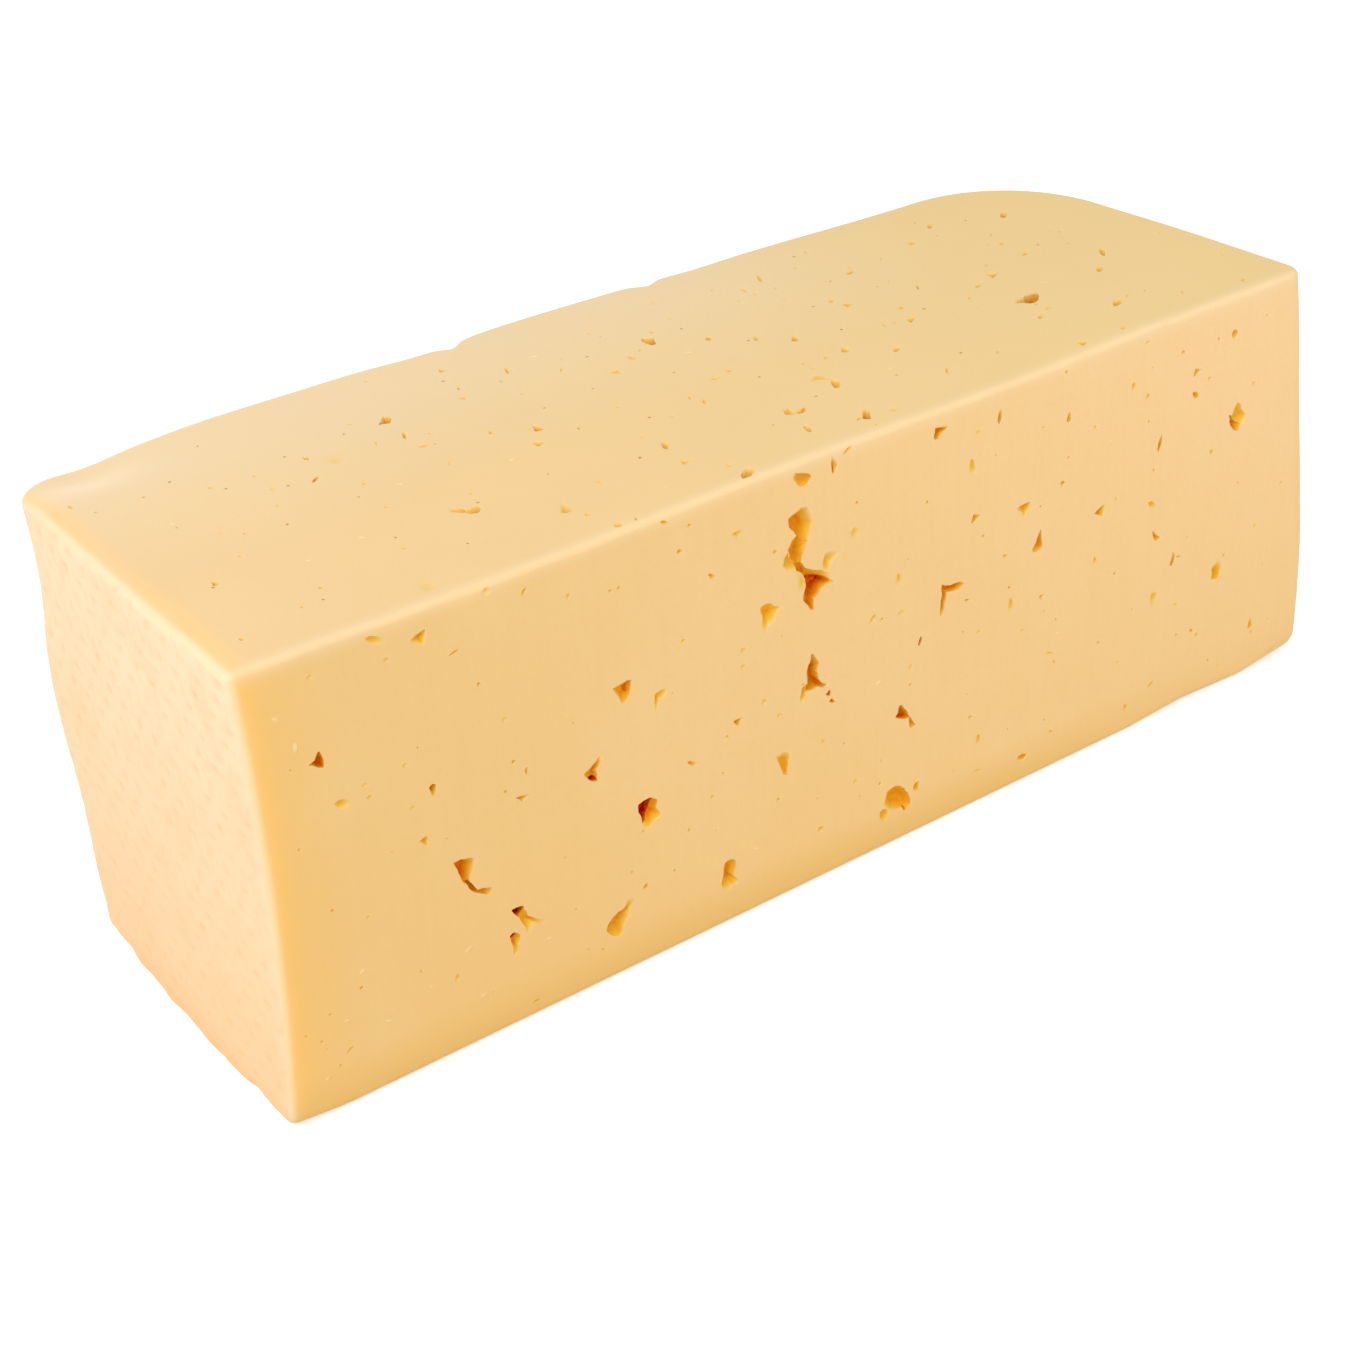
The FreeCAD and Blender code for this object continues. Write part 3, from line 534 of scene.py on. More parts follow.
def rows_at(radius):
    """(height, inset) of every row of a column, from the foot's flat to the top's flat."""
    out = []
    for k in range(FOOT_ROUND_ROWS):
        angle = math.pi / 2 * k / FOOT_ROUND_ROWS
        out.append((radius * (1 - math.cos(angle)), radius * (1 - math.sin(angle))))
    for k in range(WALL_ROWS + 1):
        out.append((radius + (HEIGHT - TOP_ROUND - radius) * k / WALL_ROWS, 0.0))
    for k in range(1, TOP_ROUND_ROWS + 1):
        angle = math.pi / 2 * k / TOP_ROUND_ROWS
        out.append((HEIGHT - TOP_ROUND * (1 - math.sin(angle)), TOP_ROUND * (1 - math.cos(angle))))
    return out


def ring(cols, level, inset):
    """The points of every column at one level and one inset."""
    level, inset = np.array(level), np.array(inset)
    return np.array([outline_point(part, np.array(share), level, inset) for part, share in cols])


def wall_points(cols):
    """Heights and plan points of the side wall: one line per column, one entry per row."""
    wall = []
    for part in range(8):
        shares = [s for p, s in cols if p == part]
        rows = np.array([rows_at(foot_round(part, s)) for s in shares])
        height, inset = rows[..., 0], rows[..., 1]
        share = np.repeat(np.array(shares)[:, None], height.shape[1], 1)
        plan = outline_point(part, share, height / HEIGHT, inset)
        wall.append(np.concatenate([plan, height[..., None]], -1))
    return np.concatenate(wall)


def cap(boundary, rings, spacing, margin):
    """A flat cap of triangles inside a boundary: more points as (x, y), and faces over boundary then more."""
    extra = [tuple(p) for r in rings for p in r]
    low, high = boundary.min(0), boundary.max(0)
    innermost = rings[-1]
    x = low[0] + margin
    while x < high[0] - margin:
        y = low[1] + margin
        while y < high[1] - margin:
            if inside((x, y), innermost, spacing * 0.5):
                extra.append((x, y))
            y += spacing
        x += spacing
    count = len(boundary)
    loop = [(k, (k + 1) % count) for k in range(count)]
    points = [Vector(p) for p in boundary] + [Vector(p) for p in extra]
    _, _, faces, origin, _, _ = delaunay_2d_cdt(points, loop, [], 1, 1e-6)
    order = [o[0] for o in origin]
    return extra, [[order[v] for v in f] for f in faces]


def inside(point, loop, clearance):
    """True if a point lies inside a loop of plan points and clear of it."""
    x, y = point
    a, b = loop, np.roll(loop, -1, 0)
    crossing = (a[:, 1] > y) != (b[:, 1] > y)
    if not crossing.any():
        return False
    a, b = a[crossing], b[crossing]
    at = a[:, 0] + (y - a[:, 1]) / (b[:, 1] - a[:, 1]) * (b[:, 0] - a[:, 0])
    if np.count_nonzero(at > x) % 2 == 0:
        return False
    return float(np.min(np.hypot(loop[:, 0] - x, loop[:, 1] - y))) > clearance


def soft_bump(offset, width):
    return np.exp(-0.5 * (offset / width) ** 2)


def swell_out(points):
    """Moves points by the swells, the faint waves of the cut faces and the wear of the edges."""
    moved = points.copy()
    x, y, z = points.T
    level = z / HEIGHT
    for side, along, up, long, high, out in SWELLS:
        amount = out * soft_bump(z - up, high)
        if side == "back":
            moved[:, 1] += amount * soft_bump(x - along, long) * np.clip(y / DEPTH * 2 - 1, 0, 1)
        else:
            corner, way = CORNER_WAYS[side]
            amount *= soft_bump(np.hypot(x - corner[0], y - corner[1]) - along, long)
            moved[:, 0] += amount * way[0]
            moved[:, 1] += amount * way[1]
    for along, inward, long, wide, up in DROOPS:
        reach = soft_bump(x - along, long) * soft_bump(DEPTH - y - inward, wide)
        moved[:, 2] += up * reach * np.clip(level * 3 - 2, 0, 1)
    front = np.clip(1 - y / 20, 0, 1)
    moved[:, 1] += front * level * (1 - level) * FRONT_WAVE * np.sin(x / 23 + 0.6) * np.sin(z / 31 + 1.1)
    top = np.clip(level * 8 - 7, 0, 1)
    moved[:, 2] += top * TOP_WAVE * np.sin(x / 17 + 0.4) * np.sin(y / 14 + 0.9)
    return wear_edges(points, moved)


def wobble(run, start):
    """An uneven wave along an edge, about one high."""
    return sum(high * np.sin(run / long + start * shift) for high, long, shift in EDGE_WAVES)


def wear_edges(points, moved):
    """Makes the cut edges and the foot of the left end slightly uneven."""
    x, y, z = points.T
    front, _, _, left, top = side_distances(points)
    near = soft_bump(np.hypot(left, top), EDGE_REACH)
    moved[:, 0] += EDGE_WEAR * near * wobble(y, 0.4)
    moved[:, 2] += EDGE_WEAR * near * wobble(y, 2.1)
    near = soft_bump(np.hypot(left, front), EDGE_REACH)
    moved[:, 0] += EDGE_WEAR * near * wobble(z, 1.3)
    moved[:, 1] += EDGE_WEAR * near * wobble(z, 3.2)
    near = soft_bump(np.hypot(front, top), EDGE_REACH)
    moved[:, 1] += EDGE_WEAR * 0.6 * near * wobble(x * 0.6, 0.9)
    moved[:, 2] += EDGE_WEAR * 0.6 * near * wobble(x * 0.6, 2.7)
    near = soft_bump(np.hypot(left, z), FOOT_REACH) * np.clip(z, 0, 1)
    moved[:, 0] += FOOT_WEAR * near * wobble(y * 0.9, 0.2)
    moved[:, 2] += FOOT_WEAR * near * (1 + wobble(y * 0.9, 1.9))
    return moved


def block_mesh():
    """The block's closed skin: side wall, top and foot."""
    cols = columns()
    wall = wall_points(cols)
    count, rows = wall.shape[:2]
    points = [tuple(p) for p in wall.reshape(-1, 3)]
    faces = []
    for c in range(count):
        following = (c + 1) % count
        for r in range(rows - 1):
            faces.append((c * rows + r, following * rows + r, following * rows + r + 1, c * rows + r + 1))

    def add_cap(row, height, boundary, rings, spacing, margin, turn):
        extra, cap_faces = cap(boundary, rings, spacing, margin)
        lookup = [c * rows + row for c in range(count)] + [len(points) + k for k in range(len(extra))]
        points.extend((x, y, height) for x, y in extra)
        faces.extend([lookup[v] for v in turn(f)] for f in cap_faces)

    rings = [ring(cols, 1.0, TOP_ROUND + inset) for inset in TOP_RINGS]
    add_cap(rows - 1, HEIGHT, wall[:, -1, :2], rings, TOP_GRID, TOP_RINGS[-1], list)
    foot = wall[:, 0, :2]
    centre = foot.mean(0)
    rings = [centre + (foot - centre) * (1 - inset / FOOT_SHRINK) for inset in FOOT_RINGS]
    add_cap(0, 0.0, foot, rings, FOOT_GRID, FOOT_RINGS[-1], reversed)
    return np.array(points), faces


def shift_to_frame():
    """From the shape code's corner at the left front of the top to the frame's origin, in millimetres."""
    low = np.stack(plan_corners(np.linspace(0, 1, 201))).reshape(-1, 2).min(0)
    return np.array([BLOCK_LOW.x / MM - low[0], BLOCK_LOW.y / MM - low[1], BLOCK_LOW.z / MM])


SHIFT = shift_to_frame()


def to_frame(points):
    return (np.asarray(points) + SHIFT) * MM


def front_place(along, down):
    """A point of the cut front, from its top left corner, in millimetres."""
    level = np.array(1 - down / HEIGHT)
    left, right = plan_corners(level)[:2]
    place = left + (right - left) * (along / TOP_LENGTH)
    return np.array([place[0], place[1], HEIGHT * float(level)])


def top_place(along, from_back):
    """A point of the top, from its left back corner, in millimetres."""
    a, b, c, d = plan_corners(np.array(1.0))
    share = along / TOP_LENGTH
    front, back = a + (b - a) * share, d + (c - d) * share
    place = back + (front - back) * (from_back / DEPTH)
    return np.array([place[0], place[1], HEIGHT])


def new_object(name, points, faces):
    mesh = bpy.data.meshes.new(name)
    mesh.from_pydata([tuple(p) for p in points], [], [tuple(f) for f in faces])
    mesh.validate()
    mesh.update()
    thing = bpy.data.objects.new(name, mesh)
    bpy.context.scene.collection.objects.link(thing)
    return thing


def softened(outline, share=SMALL_SOFTNESS):
    """Cuts every corner of a mouth once, so that it isn't a plain polygon."""
    following = np.roll(outline, -1, 0)
    return np.stack([outline + (following - outline) * share, outline + (following - outline) * (1 - share)],
                    1).reshape(-1, 2)


def ragged(outline, chance):
    """Splits the long edges of a large eye's mouth and lets the new corners wander a little."""
    out = []
    for k, point in enumerate(outline):
        following = outline[(k + 1) % len(outline)]
        out.append(point)
        length = float(np.hypot(*(following - point)))
        parts = 1 + int(length > 1.6) + int(length > 3.2)
        for part in range(1, parts):
            wander = np.array([chance.uniform(-1, 1), chance.uniform(-1, 1)]) * RAGGED * min(length, 3) / 1.5
            out.append(point + (following - point) * part / parts + wander)
    return np.array(out)


def mouth_outline(kind, wide, tall, turn, chance):
    """A small eye's mouth round its middle, with down positive."""
    a = math.radians(turn)
    out = []
    for u, v in MOUTHS[kind]:
        u *= wide * chance.uniform(1 - JITTER, 1 + JITTER)
        v *= tall * chance.uniform(1 - JITTER, 1 + JITTER)
        out.append((u * math.cos(a) - v * math.sin(a), -(u * math.sin(a) + v * math.cos(a))))
    return np.array(out)


class Face:
    """One cut face: where its places are and which way is out."""

    def __init__(self, place, outward, skin):
        self.place = place
        self.outward = np.array(outward)
        self.skin = skin

    def surface(self, along, down):
        """The real surface at a place, with the swells in it."""
        at = self.place(along, down)
        start = Vector(at + self.outward * SEARCH_REACH)
        hit = self.skin.ray_cast(start, Vector(-self.outward), 2 * SEARCH_REACH)[0]
        return at if hit is None else np.array(hit)


def ring_faces(count, rings):
    """The quads between rings of the same count of points, and the first ring's cap."""
    faces = []
    for s in range(0, (rings - 1) * count, count):
        for k in range(count):
            a, b = s + k, s + (k + 1) % count
            faces.append((a, b, b + count, a + count))
    return faces + [tuple(reversed(range(count)))]


def eye_cutter(face, outline, low_place, deep, steep, darkest, crisp=0.0):
    """One closed cutter: rings of the mouth drawn in towards its lowest place. Points, faces and (painted
    shade, lip highlight) marks.

    A crisp eye is a pocket with upright walls all round and dark painted shade; others fade out opposite
    their steep side.
    """
    outline, low_place = np.array(outline), np.array(low_place)
    centre = outline.mean(0)
    spread = np.hypot(*(outline - centre).T)
    side = ((outline - centre) @ steep) / spread
    faint = deep <= FAINT
    none = np.zeros(len(outline))
    # how much lip each corner gets; it also marks the lip's pale painted highlight
    lip_share = none if faint else np.clip(0.45 + 0.75 * side, 0.12, 1.0) * (1 - 0.8 * crisp)
    lip = EYE_LIP * min(1.0, float(spread.mean()) / 1.2) * lip_share
    brim = centre + (outline - centre) * (1 + lip / spread)[:, None]
    drop = LIP_DROP * lip_share
    rings = [(brim + (brim - centre) * 0.05, none - EYE_RISE, none, none), (brim, none, none, none)]
    if not faint:
        rings.append((outline, drop, none, lip_share))
    floor = EYE_FLOOR + crisp * (POCKET_FLOOR - EYE_FLOOR)
    for share in FAINT_STEPS if faint or spread.mean() * 2 < SMALL else EYE_STEPS:
        ring = low_place + (outline - low_place) * (1 - share * (1 - floor))
        tone = darkest * share ** ((0.75 - 0.5 * side) * (1 - 0.85 * crisp))
        depth = deep * share ** (1.3 if faint else (0.9 - 0.4 * side) * (1 - 0.65 * crisp))
        rings.append((ring, drop + depth, tone, none))
    points, marks = [], []
    for ring, depths, tone, edges in rings:
        for place, depth, dark, edge in zip(ring, depths, tone, edges):
            points.append(face.surface(*place) - face.outward * depth)
            marks.append((dark, edge))
    count = len(outline)
    faces = ring_faces(count, len(rings))
    last = (len(rings) - 1) * count
    faces += [(last + k, last + (k + 1) % count, len(points)) for k in range(count)]
    points.append(np.mean(points[last:], axis=0) - face.outward * deep * 0.04)
    marks.append((darkest, 0.0))
    return points, faces, marks


def flake(face, along, down, long, wide, turn, chance):
    """One closed thin flake, half sunk in a cut face. Points and faces."""
    a = math.radians(turn)
    points = []
    rings = ((0.9, -FLAKE_SUNK), (1.0, 0.02), (0.62, FLAKE_THICK))
    for size, height in rings:
        for k in range(FLAKE_SIDES):
            b = 2 * math.pi * k / FLAKE_SIDES
            reach = size * (1 if height < 0.1 else chance.uniform(0.8, 1.1))
            u, v = math.cos(b) * long / 2 * reach, math.sin(b) * wide / 2 * reach
            place = (along + u * math.cos(a) - v * math.sin(a), down + u * math.sin(a) + v * math.cos(a))
            points.append(face.surface(*place) + face.outward * height)
    return points, ring_faces(FLAKE_SIDES, len(rings)) + [tuple(range(2 * FLAKE_SIDES, 3 * FLAKE_SIDES))]


def eye_list(face, small, large, chance):
    """The cutters of every eye of one face."""
    out = []
    for kind, along, down, wide, tall, deep, turn, steep in small:
        outline = mouth_outline(kind, wide, tall, turn, chance)
        if min(wide, tall) > SMALL:
            outline = softened(outline)
        lean = np.array([math.cos(math.radians(steep)), -math.sin(math.radians(steep))])
        low_place = lean * (outline @ lean).max() * EYE_STEEP
        middle = np.array([along, down])
        # painted shade: the deeper a small eye, the darker it is painted
        dark = DARKEST * (1 - math.exp(-deep / DARK_DEPTH))
        deep *= 1.0 if deep <= FAINT else SMALL_DEPTH
        out.append(eye_cutter(face, outline + middle, low_place + middle, deep, lean, dark))
    for outline, low_place, deep, dark, crisp in large:
        outline = softened(ragged(np.array(outline), chance), LARGE_SOFTNESS)
        lean = np.array(low_place) - outline.mean(0)
        lean = lean / max(float(np.hypot(*lean)), 0.4)
        out.append(eye_cutter(face, outline, low_place, deep, lean, dark, crisp))
    return out


def in_groups(cutters):
    """Sorts cutters into groups in which no two touch."""
    groups = []
    for cutter in cutters:
        points = np.array(cutter[0])
        low, high = points.min(0) - EYES_APART, points.max(0) + EYES_APART
        for group in groups:
            if all((low > h).any() or (high < l).any() for l, h, _ in group):
                group.append((low, high, cutter))
                break
        else:
            groups.append([(low, high, cutter)])
    return [[cutter for _, _, cutter in group] for group in groups]


def tool_of(name, parts):
    """One cutting tool from several closed shapes' points and faces, in millimetres."""
    points, faces = [], []
    for some, lists in parts:
        faces += [tuple(v + len(points) for v in f) for f in lists]
        points += list(some)
    tool = new_object(name, to_frame(points), faces)
    outward(tool.data)
    return tool


def cut(body, tool, operation="DIFFERENCE"):
    """Cuts the tool out of the body, or joins it on, and leaves a plain mesh."""
    before = len(body.data.vertices)
    modifier = body.modifiers.new("cut", "BOOLEAN")
    modifier.operation = operation
    modifier.solver = "MANIFOLD"
    modifier.object = tool
    settle(body)
    if len(body.data.vertices) == before:
        raise RuntimeError("the eyes could not be cut")
    bpy.data.objects.remove(tool)


def settle(thing):
    """Turns an object's modifiers into its own plain mesh."""
    bpy.context.view_layer.update()
    graph = bpy.context.evaluated_depsgraph_get()
    mesh = bpy.data.meshes.new_from_object(thing.evaluated_get(graph), preserve_all_data_layers=True,
                                           depsgraph=graph)
    thing.modifiers.clear()
    old = thing.data
    thing.data = mesh
    bpy.data.meshes.remove(old)


# ---- node helpers ----
def geometry_tree(name, inputs):
    """An empty tree with a geometry input and output and these other inputs. The tree and its helper."""
    tree = bpy.data.node_groups.new(name, "GeometryNodeTree")
    for label, kind in {"Geometry": "Geometry", **inputs}.items():
        tree.interface.new_socket(label, in_out="INPUT", socket_type="NodeSocket" + kind)
    tree.interface.new_socket("Geometry", in_out="OUTPUT", socket_type="NodeSocketGeometry")
    return tree, Nodes(tree)


def apply_tree(thing, tree, values):
    """Runs a tree over an object with these inputs, and leaves a plain mesh."""
    modifier = thing.modifiers.new(tree.name, "NODES")
    modifier.node_group = tree
    sockets = {item.name: item.identifier for item in tree.interface.items_tree if item.in_out == "INPUT"}
    for name, value in values.items():
        modifier[sockets[name]] = value
    settle(thing)


class Nodes:
    """Short ways to add and join the nodes of one tree."""

    def __init__(self, tree):
        self.tree = tree

    def add(self, kind, **values):
        node = self.tree.nodes.new(kind)
        for name, value in values.items():
            setattr(node, name, value)
        return node

    def join(self, source, target):
        self.tree.links.new(source, target)

    def feed(self, socket, value):
        if isinstance(value, bpy.types.NodeSocket):
            self.join(value, socket)
        elif value is not None:
            socket.default_value = value

    def math(self, operation, a, b=None):
        node = self.add("ShaderNodeMath", operation=operation)
        self.feed(node.inputs[0], a)
        self.feed(node.inputs[1], b)
        return node.outputs[0]

    def times(self, *values):
        """The product of two or more values."""
        product = values[0]
        for value in values[1:]:
            product = self.math("MULTIPLY", product, value)
        return product

    def vector(self, operation, a, b=None, scale=None):
        node = self.add("ShaderNodeVectorMath", operation=operation)
        for socket, value in zip(node.inputs, (a, b, None, scale)):
            self.feed(socket, value)
        return node.outputs[0]

    def noise(self, place, scale, detail=2.0):
        node = self.add("ShaderNodeTexNoise")
        for socket, value in (("Vector", place), ("Scale", scale), ("Detail", detail)):
            self.feed(node.inputs[socket], value)
        return node.outputs[0]

    def between(self, value, low, high, to_low=0.0, to_high=1.0, smooth=True):
        node = self.add("ShaderNodeMapRange", clamp=True)
        node.interpolation_type = "SMOOTHSTEP" if smooth else "LINEAR"
        for socket, given in zip(node.inputs[:5], (value, low, high, to_low, to_high)):
            self.feed(socket, given)
        return node.outputs[0]

    def ramp(self, value, tones):
        """Colours that follow a value, from (value, colour) stops."""
        node = self.add("ShaderNodeValToRGB")
        stops = node.color_ramp.elements
        while len(stops) < len(tones):
            stops.new(0.5)
        for stop, (where, colour) in zip(stops, tones):
            stop.position = where
            stop.color = tuple(colour)
        self.join(value, node.inputs[0])
        return node.outputs[0]

    def mix(self, share, a, b):
        """One colour turning into another; colours are tuples, properties or sockets."""
        node = self.add("ShaderNodeMix", data_type="RGBA")
        self.feed(node.inputs["Factor"], share)
        for socket, value in ((6, a), (7, b)):
            self.feed(node.inputs[socket], value if isinstance(value, bpy.types.NodeSocket) else tuple(value))
        return node.outputs[2]

    def seen(self):
        """1 where it is looked at, straight, in a reflection or through glass; 0 where it lights things."""
        rays = self.add("ShaderNodeLightPath").outputs
        return self.math("MAXIMUM", self.math("MAXIMUM", rays["Is Camera Ray"], rays["Is Glossy Ray"]),
                         rays["Is Transmission Ray"])


def rind_relief_tree():
    """Presses the mould's staggered dimples into the rind, and gives it a soft unevenness."""
    sizes = ("Dimple Depth", "Dimple Width", "Across", "Rise", "Fall", "Unevenness")
    tree, n = geometry_tree("Rind relief", dict.fromkeys(sizes, "Float"))
    source = n.add("NodeGroupInput").outputs
    named = {}
    for name in ("run", "up", "rind"):
        node = n.add("GeometryNodeInputNamedAttribute", data_type="FLOAT")
        node.inputs["Name"].default_value = name
        named[name] = node.outputs["Attribute"]
    position = n.add("GeometryNodeInputPosition").outputs[0]
    warp = n.times(n.math("SUBTRACT", n.noise(position, WARP_SCALE), 0.5), DIMPLE_WARP)
    run = n.math("ADD", named["run"], warp)
    up = n.math("SUBTRACT", named["up"], warp)

    # steps of the lattice: one goes across and up, the other across and down
    across_steps = n.math("DIVIDE", run, source["Across"])
    one = n.math("DIVIDE", n.math("ADD", up, n.times(across_steps, source["Fall"])),
                 n.math("ADD", source["Rise"], source["Fall"]))
    other = n.math("SUBTRACT", across_steps, one)
    one = n.math("SUBTRACT", one, n.math("ROUND", one))
    other = n.math("SUBTRACT", other, n.math("ROUND", other))
    off_across = n.times(n.math("ADD", one, other), source["Across"], DIMPLE_SQUASH)
    off_up = n.math("SUBTRACT", n.times(one, source["Rise"]), n.times(other, source["Fall"]))
    distance = n.math("SQRT", n.math("ADD", n.times(off_across, off_across), n.times(off_up, off_up)))

    dimple = n.between(distance, 0.0, source["Dimple Width"], 1.0, 0.0)
    patchy = n.between(n.noise(position, PRESSED_SCALE), 0.35, 0.7, 0.5, 1.25)
    pressed = n.times(dimple, patchy, named["rind"])
    rough = n.math("SUBTRACT", n.noise(position, UNEVEN_SCALE, 4.0), 0.5)
    rough = n.times(rough, source["Unevenness"], named["rind"])
    height = n.math("SUBTRACT", rough, n.times(pressed, source["Dimple Depth"]))
    offset = n.vector("SCALE", n.add("GeometryNodeInputNormal").outputs[0], scale=height)
    setter = n.add("GeometryNodeSetPosition")
    n.join(source["Geometry"], setter.inputs["Geometry"])
    n.join(offset, setter.inputs["Offset"])
    keep = n.add("GeometryNodeStoreNamedAttribute", data_type="FLOAT", domain="POINT")
    keep.inputs["Name"].default_value = "dimple"
    n.join(setter.outputs[0], keep.inputs["Geometry"])
    n.join(pressed, keep.inputs["Value"])
    n.join(keep.outputs[0], n.add("NodeGroupOutput").inputs[0])
    return tree


def pinhole_tree():
    """Scatters small eye cutters over a patch of cut face."""
    sizes = dict.fromkeys(("Apart", "Density", "Least Size", "Greatest Size"), "Float")
    tree, n = geometry_tree("Pinholes", {"Cutter": "Object", **sizes, "Seed": "Int", "Material": "Material"})
    source = n.add("NodeGroupInput").outputs
    scatter = n.add("GeometryNodeDistributePointsOnFaces", distribute_method="POISSON")
    info = n.add("GeometryNodeObjectInfo")
    size = n.add("FunctionNodeRandomValue", data_type="FLOAT")
    place = n.add("GeometryNodeInstanceOnPoints")
    spin = n.add("FunctionNodeRandomValue", data_type="FLOAT")
    spin.inputs[3].default_value = 2 * math.pi
    axis = n.add("ShaderNodeCombineXYZ")
    turned = n.add("GeometryNodeRotateInstances")
    real = n.add("GeometryNodeRealizeInstances")
    finish = n.add("GeometryNodeSetMaterial")
    for start, end in (
        (source["Geometry"], scatter.inputs["Mesh"]),
        (source["Apart"], scatter.inputs["Distance Min"]),
        (source["Density"], scatter.inputs["Density Max"]),
        (source["Seed"], scatter.inputs["Seed"]),
        (source["Cutter"], info.inputs["Object"]),
        (source["Least Size"], size.inputs[2]),
        (source["Greatest Size"], size.inputs[3]),
        (source["Seed"], size.inputs["Seed"]),
        (scatter.outputs["Points"], place.inputs["Points"]),
        (info.outputs["Geometry"], place.inputs["Instance"]),
        (scatter.outputs["Rotation"], place.inputs["Rotation"]),
        (size.outputs[1], place.inputs["Scale"]),
        (source["Seed"], spin.inputs["Seed"]),
        (spin.outputs[1], axis.inputs["Z"]),
        (place.outputs[0], turned.inputs["Instances"]),
        (axis.outputs[0], turned.inputs["Rotation"]),
        (turned.outputs[0], real.inputs[0]),
        (real.outputs[0], finish.inputs["Geometry"]),
        (source["Material"], finish.inputs["Material"]),
        (finish.outputs[0], n.add("NodeGroupOutput").inputs[0]),
    ):
        n.join(start, end)
    return tree


def linear(colour):
    """A display colour from 0 to 255 as a scene colour."""
    out = []
    for c in colour:
        c = c / 255
        out.append(c / 12.92 if c <= 0.04045 else ((c + 0.055) / 1.055) ** 2.4)
    return (*out, 1.0)


def fresh_nodes(owner):
    """The emptied node tree of a material or a world."""
    owner.use_nodes = True
    owner.node_tree.nodes.clear()
    return Nodes(owner.node_tree)


def paste_material(colours):
    """Smooth waxy paste: a painted highlight along its cut edges, painted shade from amber to dark red down
    in the eyes, peach on the rind.
    """
    material = bpy.data.materials.new("Cheese paste")
    n = fresh_nodes(material)
    shader = n.add("ShaderNodeBsdfPrincipled")
    n.join(shader.outputs[0], n.add("ShaderNodeOutputMaterial").inputs["Surface"])
    place = n.add("ShaderNodeTexCoord").outputs["Object"]
    split = n.add("ShaderNodeSeparateXYZ")
    n.join(place, split.inputs[0])
    read = {"place": place, "x": split.outputs["X"], "y": split.outputs["Y"]}
    for name in ("tone", "lip", "rim", "left_edge", "rind", "crown", "rise", "dimple"):
        read[name] = n.add("ShaderNodeAttribute", attribute_name=name).outputs["Fac"]
    read["clouds"] = n.noise(place, CLOUD_SCALE)
    read["grain"] = n.noise(place, GRAIN_SCALE, 1.0)
    # painted highlight along the cut edges, fading out over about 4 mm
    read["edge"] = n.math("POWER", n.between(read["rim"], 0.2, 4.4, 1.0, 0.0, smooth=False), 1.6)

    body = n.mix(read["rind"], paste_colour(n, read, colours), rind_colour(n, read, colours))
    # painted shade and light through the paste down in the eyes, from their depth
    body = n.mix(n.between(read["tone"], 0.0, 0.16, smooth=False), body, eye_colour(n, read, colours))
    # pale lips round the eyes are a painted highlight; the flakes take the same pale colour as their own
    body = n.mix(n.times(read["lip"], 0.4), body, colours.lip)
    n.join(body, shader.inputs["Base Color"])

    rough = n.math("ADD", n.between(read["clouds"], 0.3, 0.7, 0.40, 0.50), n.times(read["rind"], 0.08))
    n.join(n.math("ADD", rough, n.times(read["tone"], 0.4)), shader.inputs["Roughness"])
    shader.inputs["IOR"].default_value = 1.42
    shader.inputs["Specular IOR Level"].default_value = 0.14
    return material


def paste_colour(n, read, colours):
    """The cut faces: a soft change along the block and down the front, partly painted light; cloudy patches,
    faint knife streaks, painted shade at the foot and painted highlights on the edges.
    """
    streaks = n.noise(n.vector("MULTIPLY", read["place"], STREAK_STRETCH), STREAK_SCALE, 1.0)
    # the change along the block and down the front is partly the paste's own colour and partly painted light
    share = n.between(read["x"], -0.13, 0.13, smooth=False)
    front = n.mix(share, colours.front_left, colours.front_right)
    front = n.mix(n.between(read["rise"], 0.0, 1.0, 0.55, 0.0, smooth=False), front, colours.front_low)
    front = n.mix(n.between(streaks, 0.35, 0.75, 0.0, 0.05), front, colours.streak)
    top = n.mix(share, colours.top_left, colours.top_right)
    back = n.times(n.between(read["y"], -0.02, 0.05, 0.0, 0.55), n.between(read["x"], 0.01, 0.10, 1.0, 0.0))
    top = n.mix(back, top, colours.top_back)
    paste = n.mix(read["crown"], front, top)
    paste = n.mix(n.between(read["clouds"], 0.35, 0.7, 0.0, 0.16), paste, colours.cloud)
    paste = n.mix(n.between(read["grain"], 0.35, 0.75, 0.0, 0.08), paste, colours.streak)

    # amber beside the left edge, where light comes through; painted shade towards the foot; then painted
    # highlights on the cut edges and beside the left edge
    band = n.times(n.between(read["left_edge"], 3.0, 22.0, 0.6, 0.0),
                   n.between(read["crown"], 0.0, 1.0, 1.0, 0.0))
    paste = n.mix(band, paste, colours.band)
    glow = n.times(n.between(read["left_edge"], 1.4, 8.0, 1.0, 0.0),
                   n.between(read["clouds"], 0.3, 0.6, 0.6, 1.0))
    paste = n.mix(glow, paste, n.mix(read["crown"], colours.glow, colours.glow_top))
    # painted shade: darker orange along the foot of the front, less towards the right end
    foot = n.times(n.between(read["rise"], 0.0, 0.14, 0.8, 0.0), n.between(read["x"], 0.03, 0.13, 1.0, 0.3))
    paste = n.mix(foot, paste, colours.foot)
    paste = n.mix(n.times(read["edge"], 0.26), paste, colours.edge)
    return n.mix(n.between(read["left_edge"], 0.6, 2.6, 0.4, 0.0), paste, colours.edge)


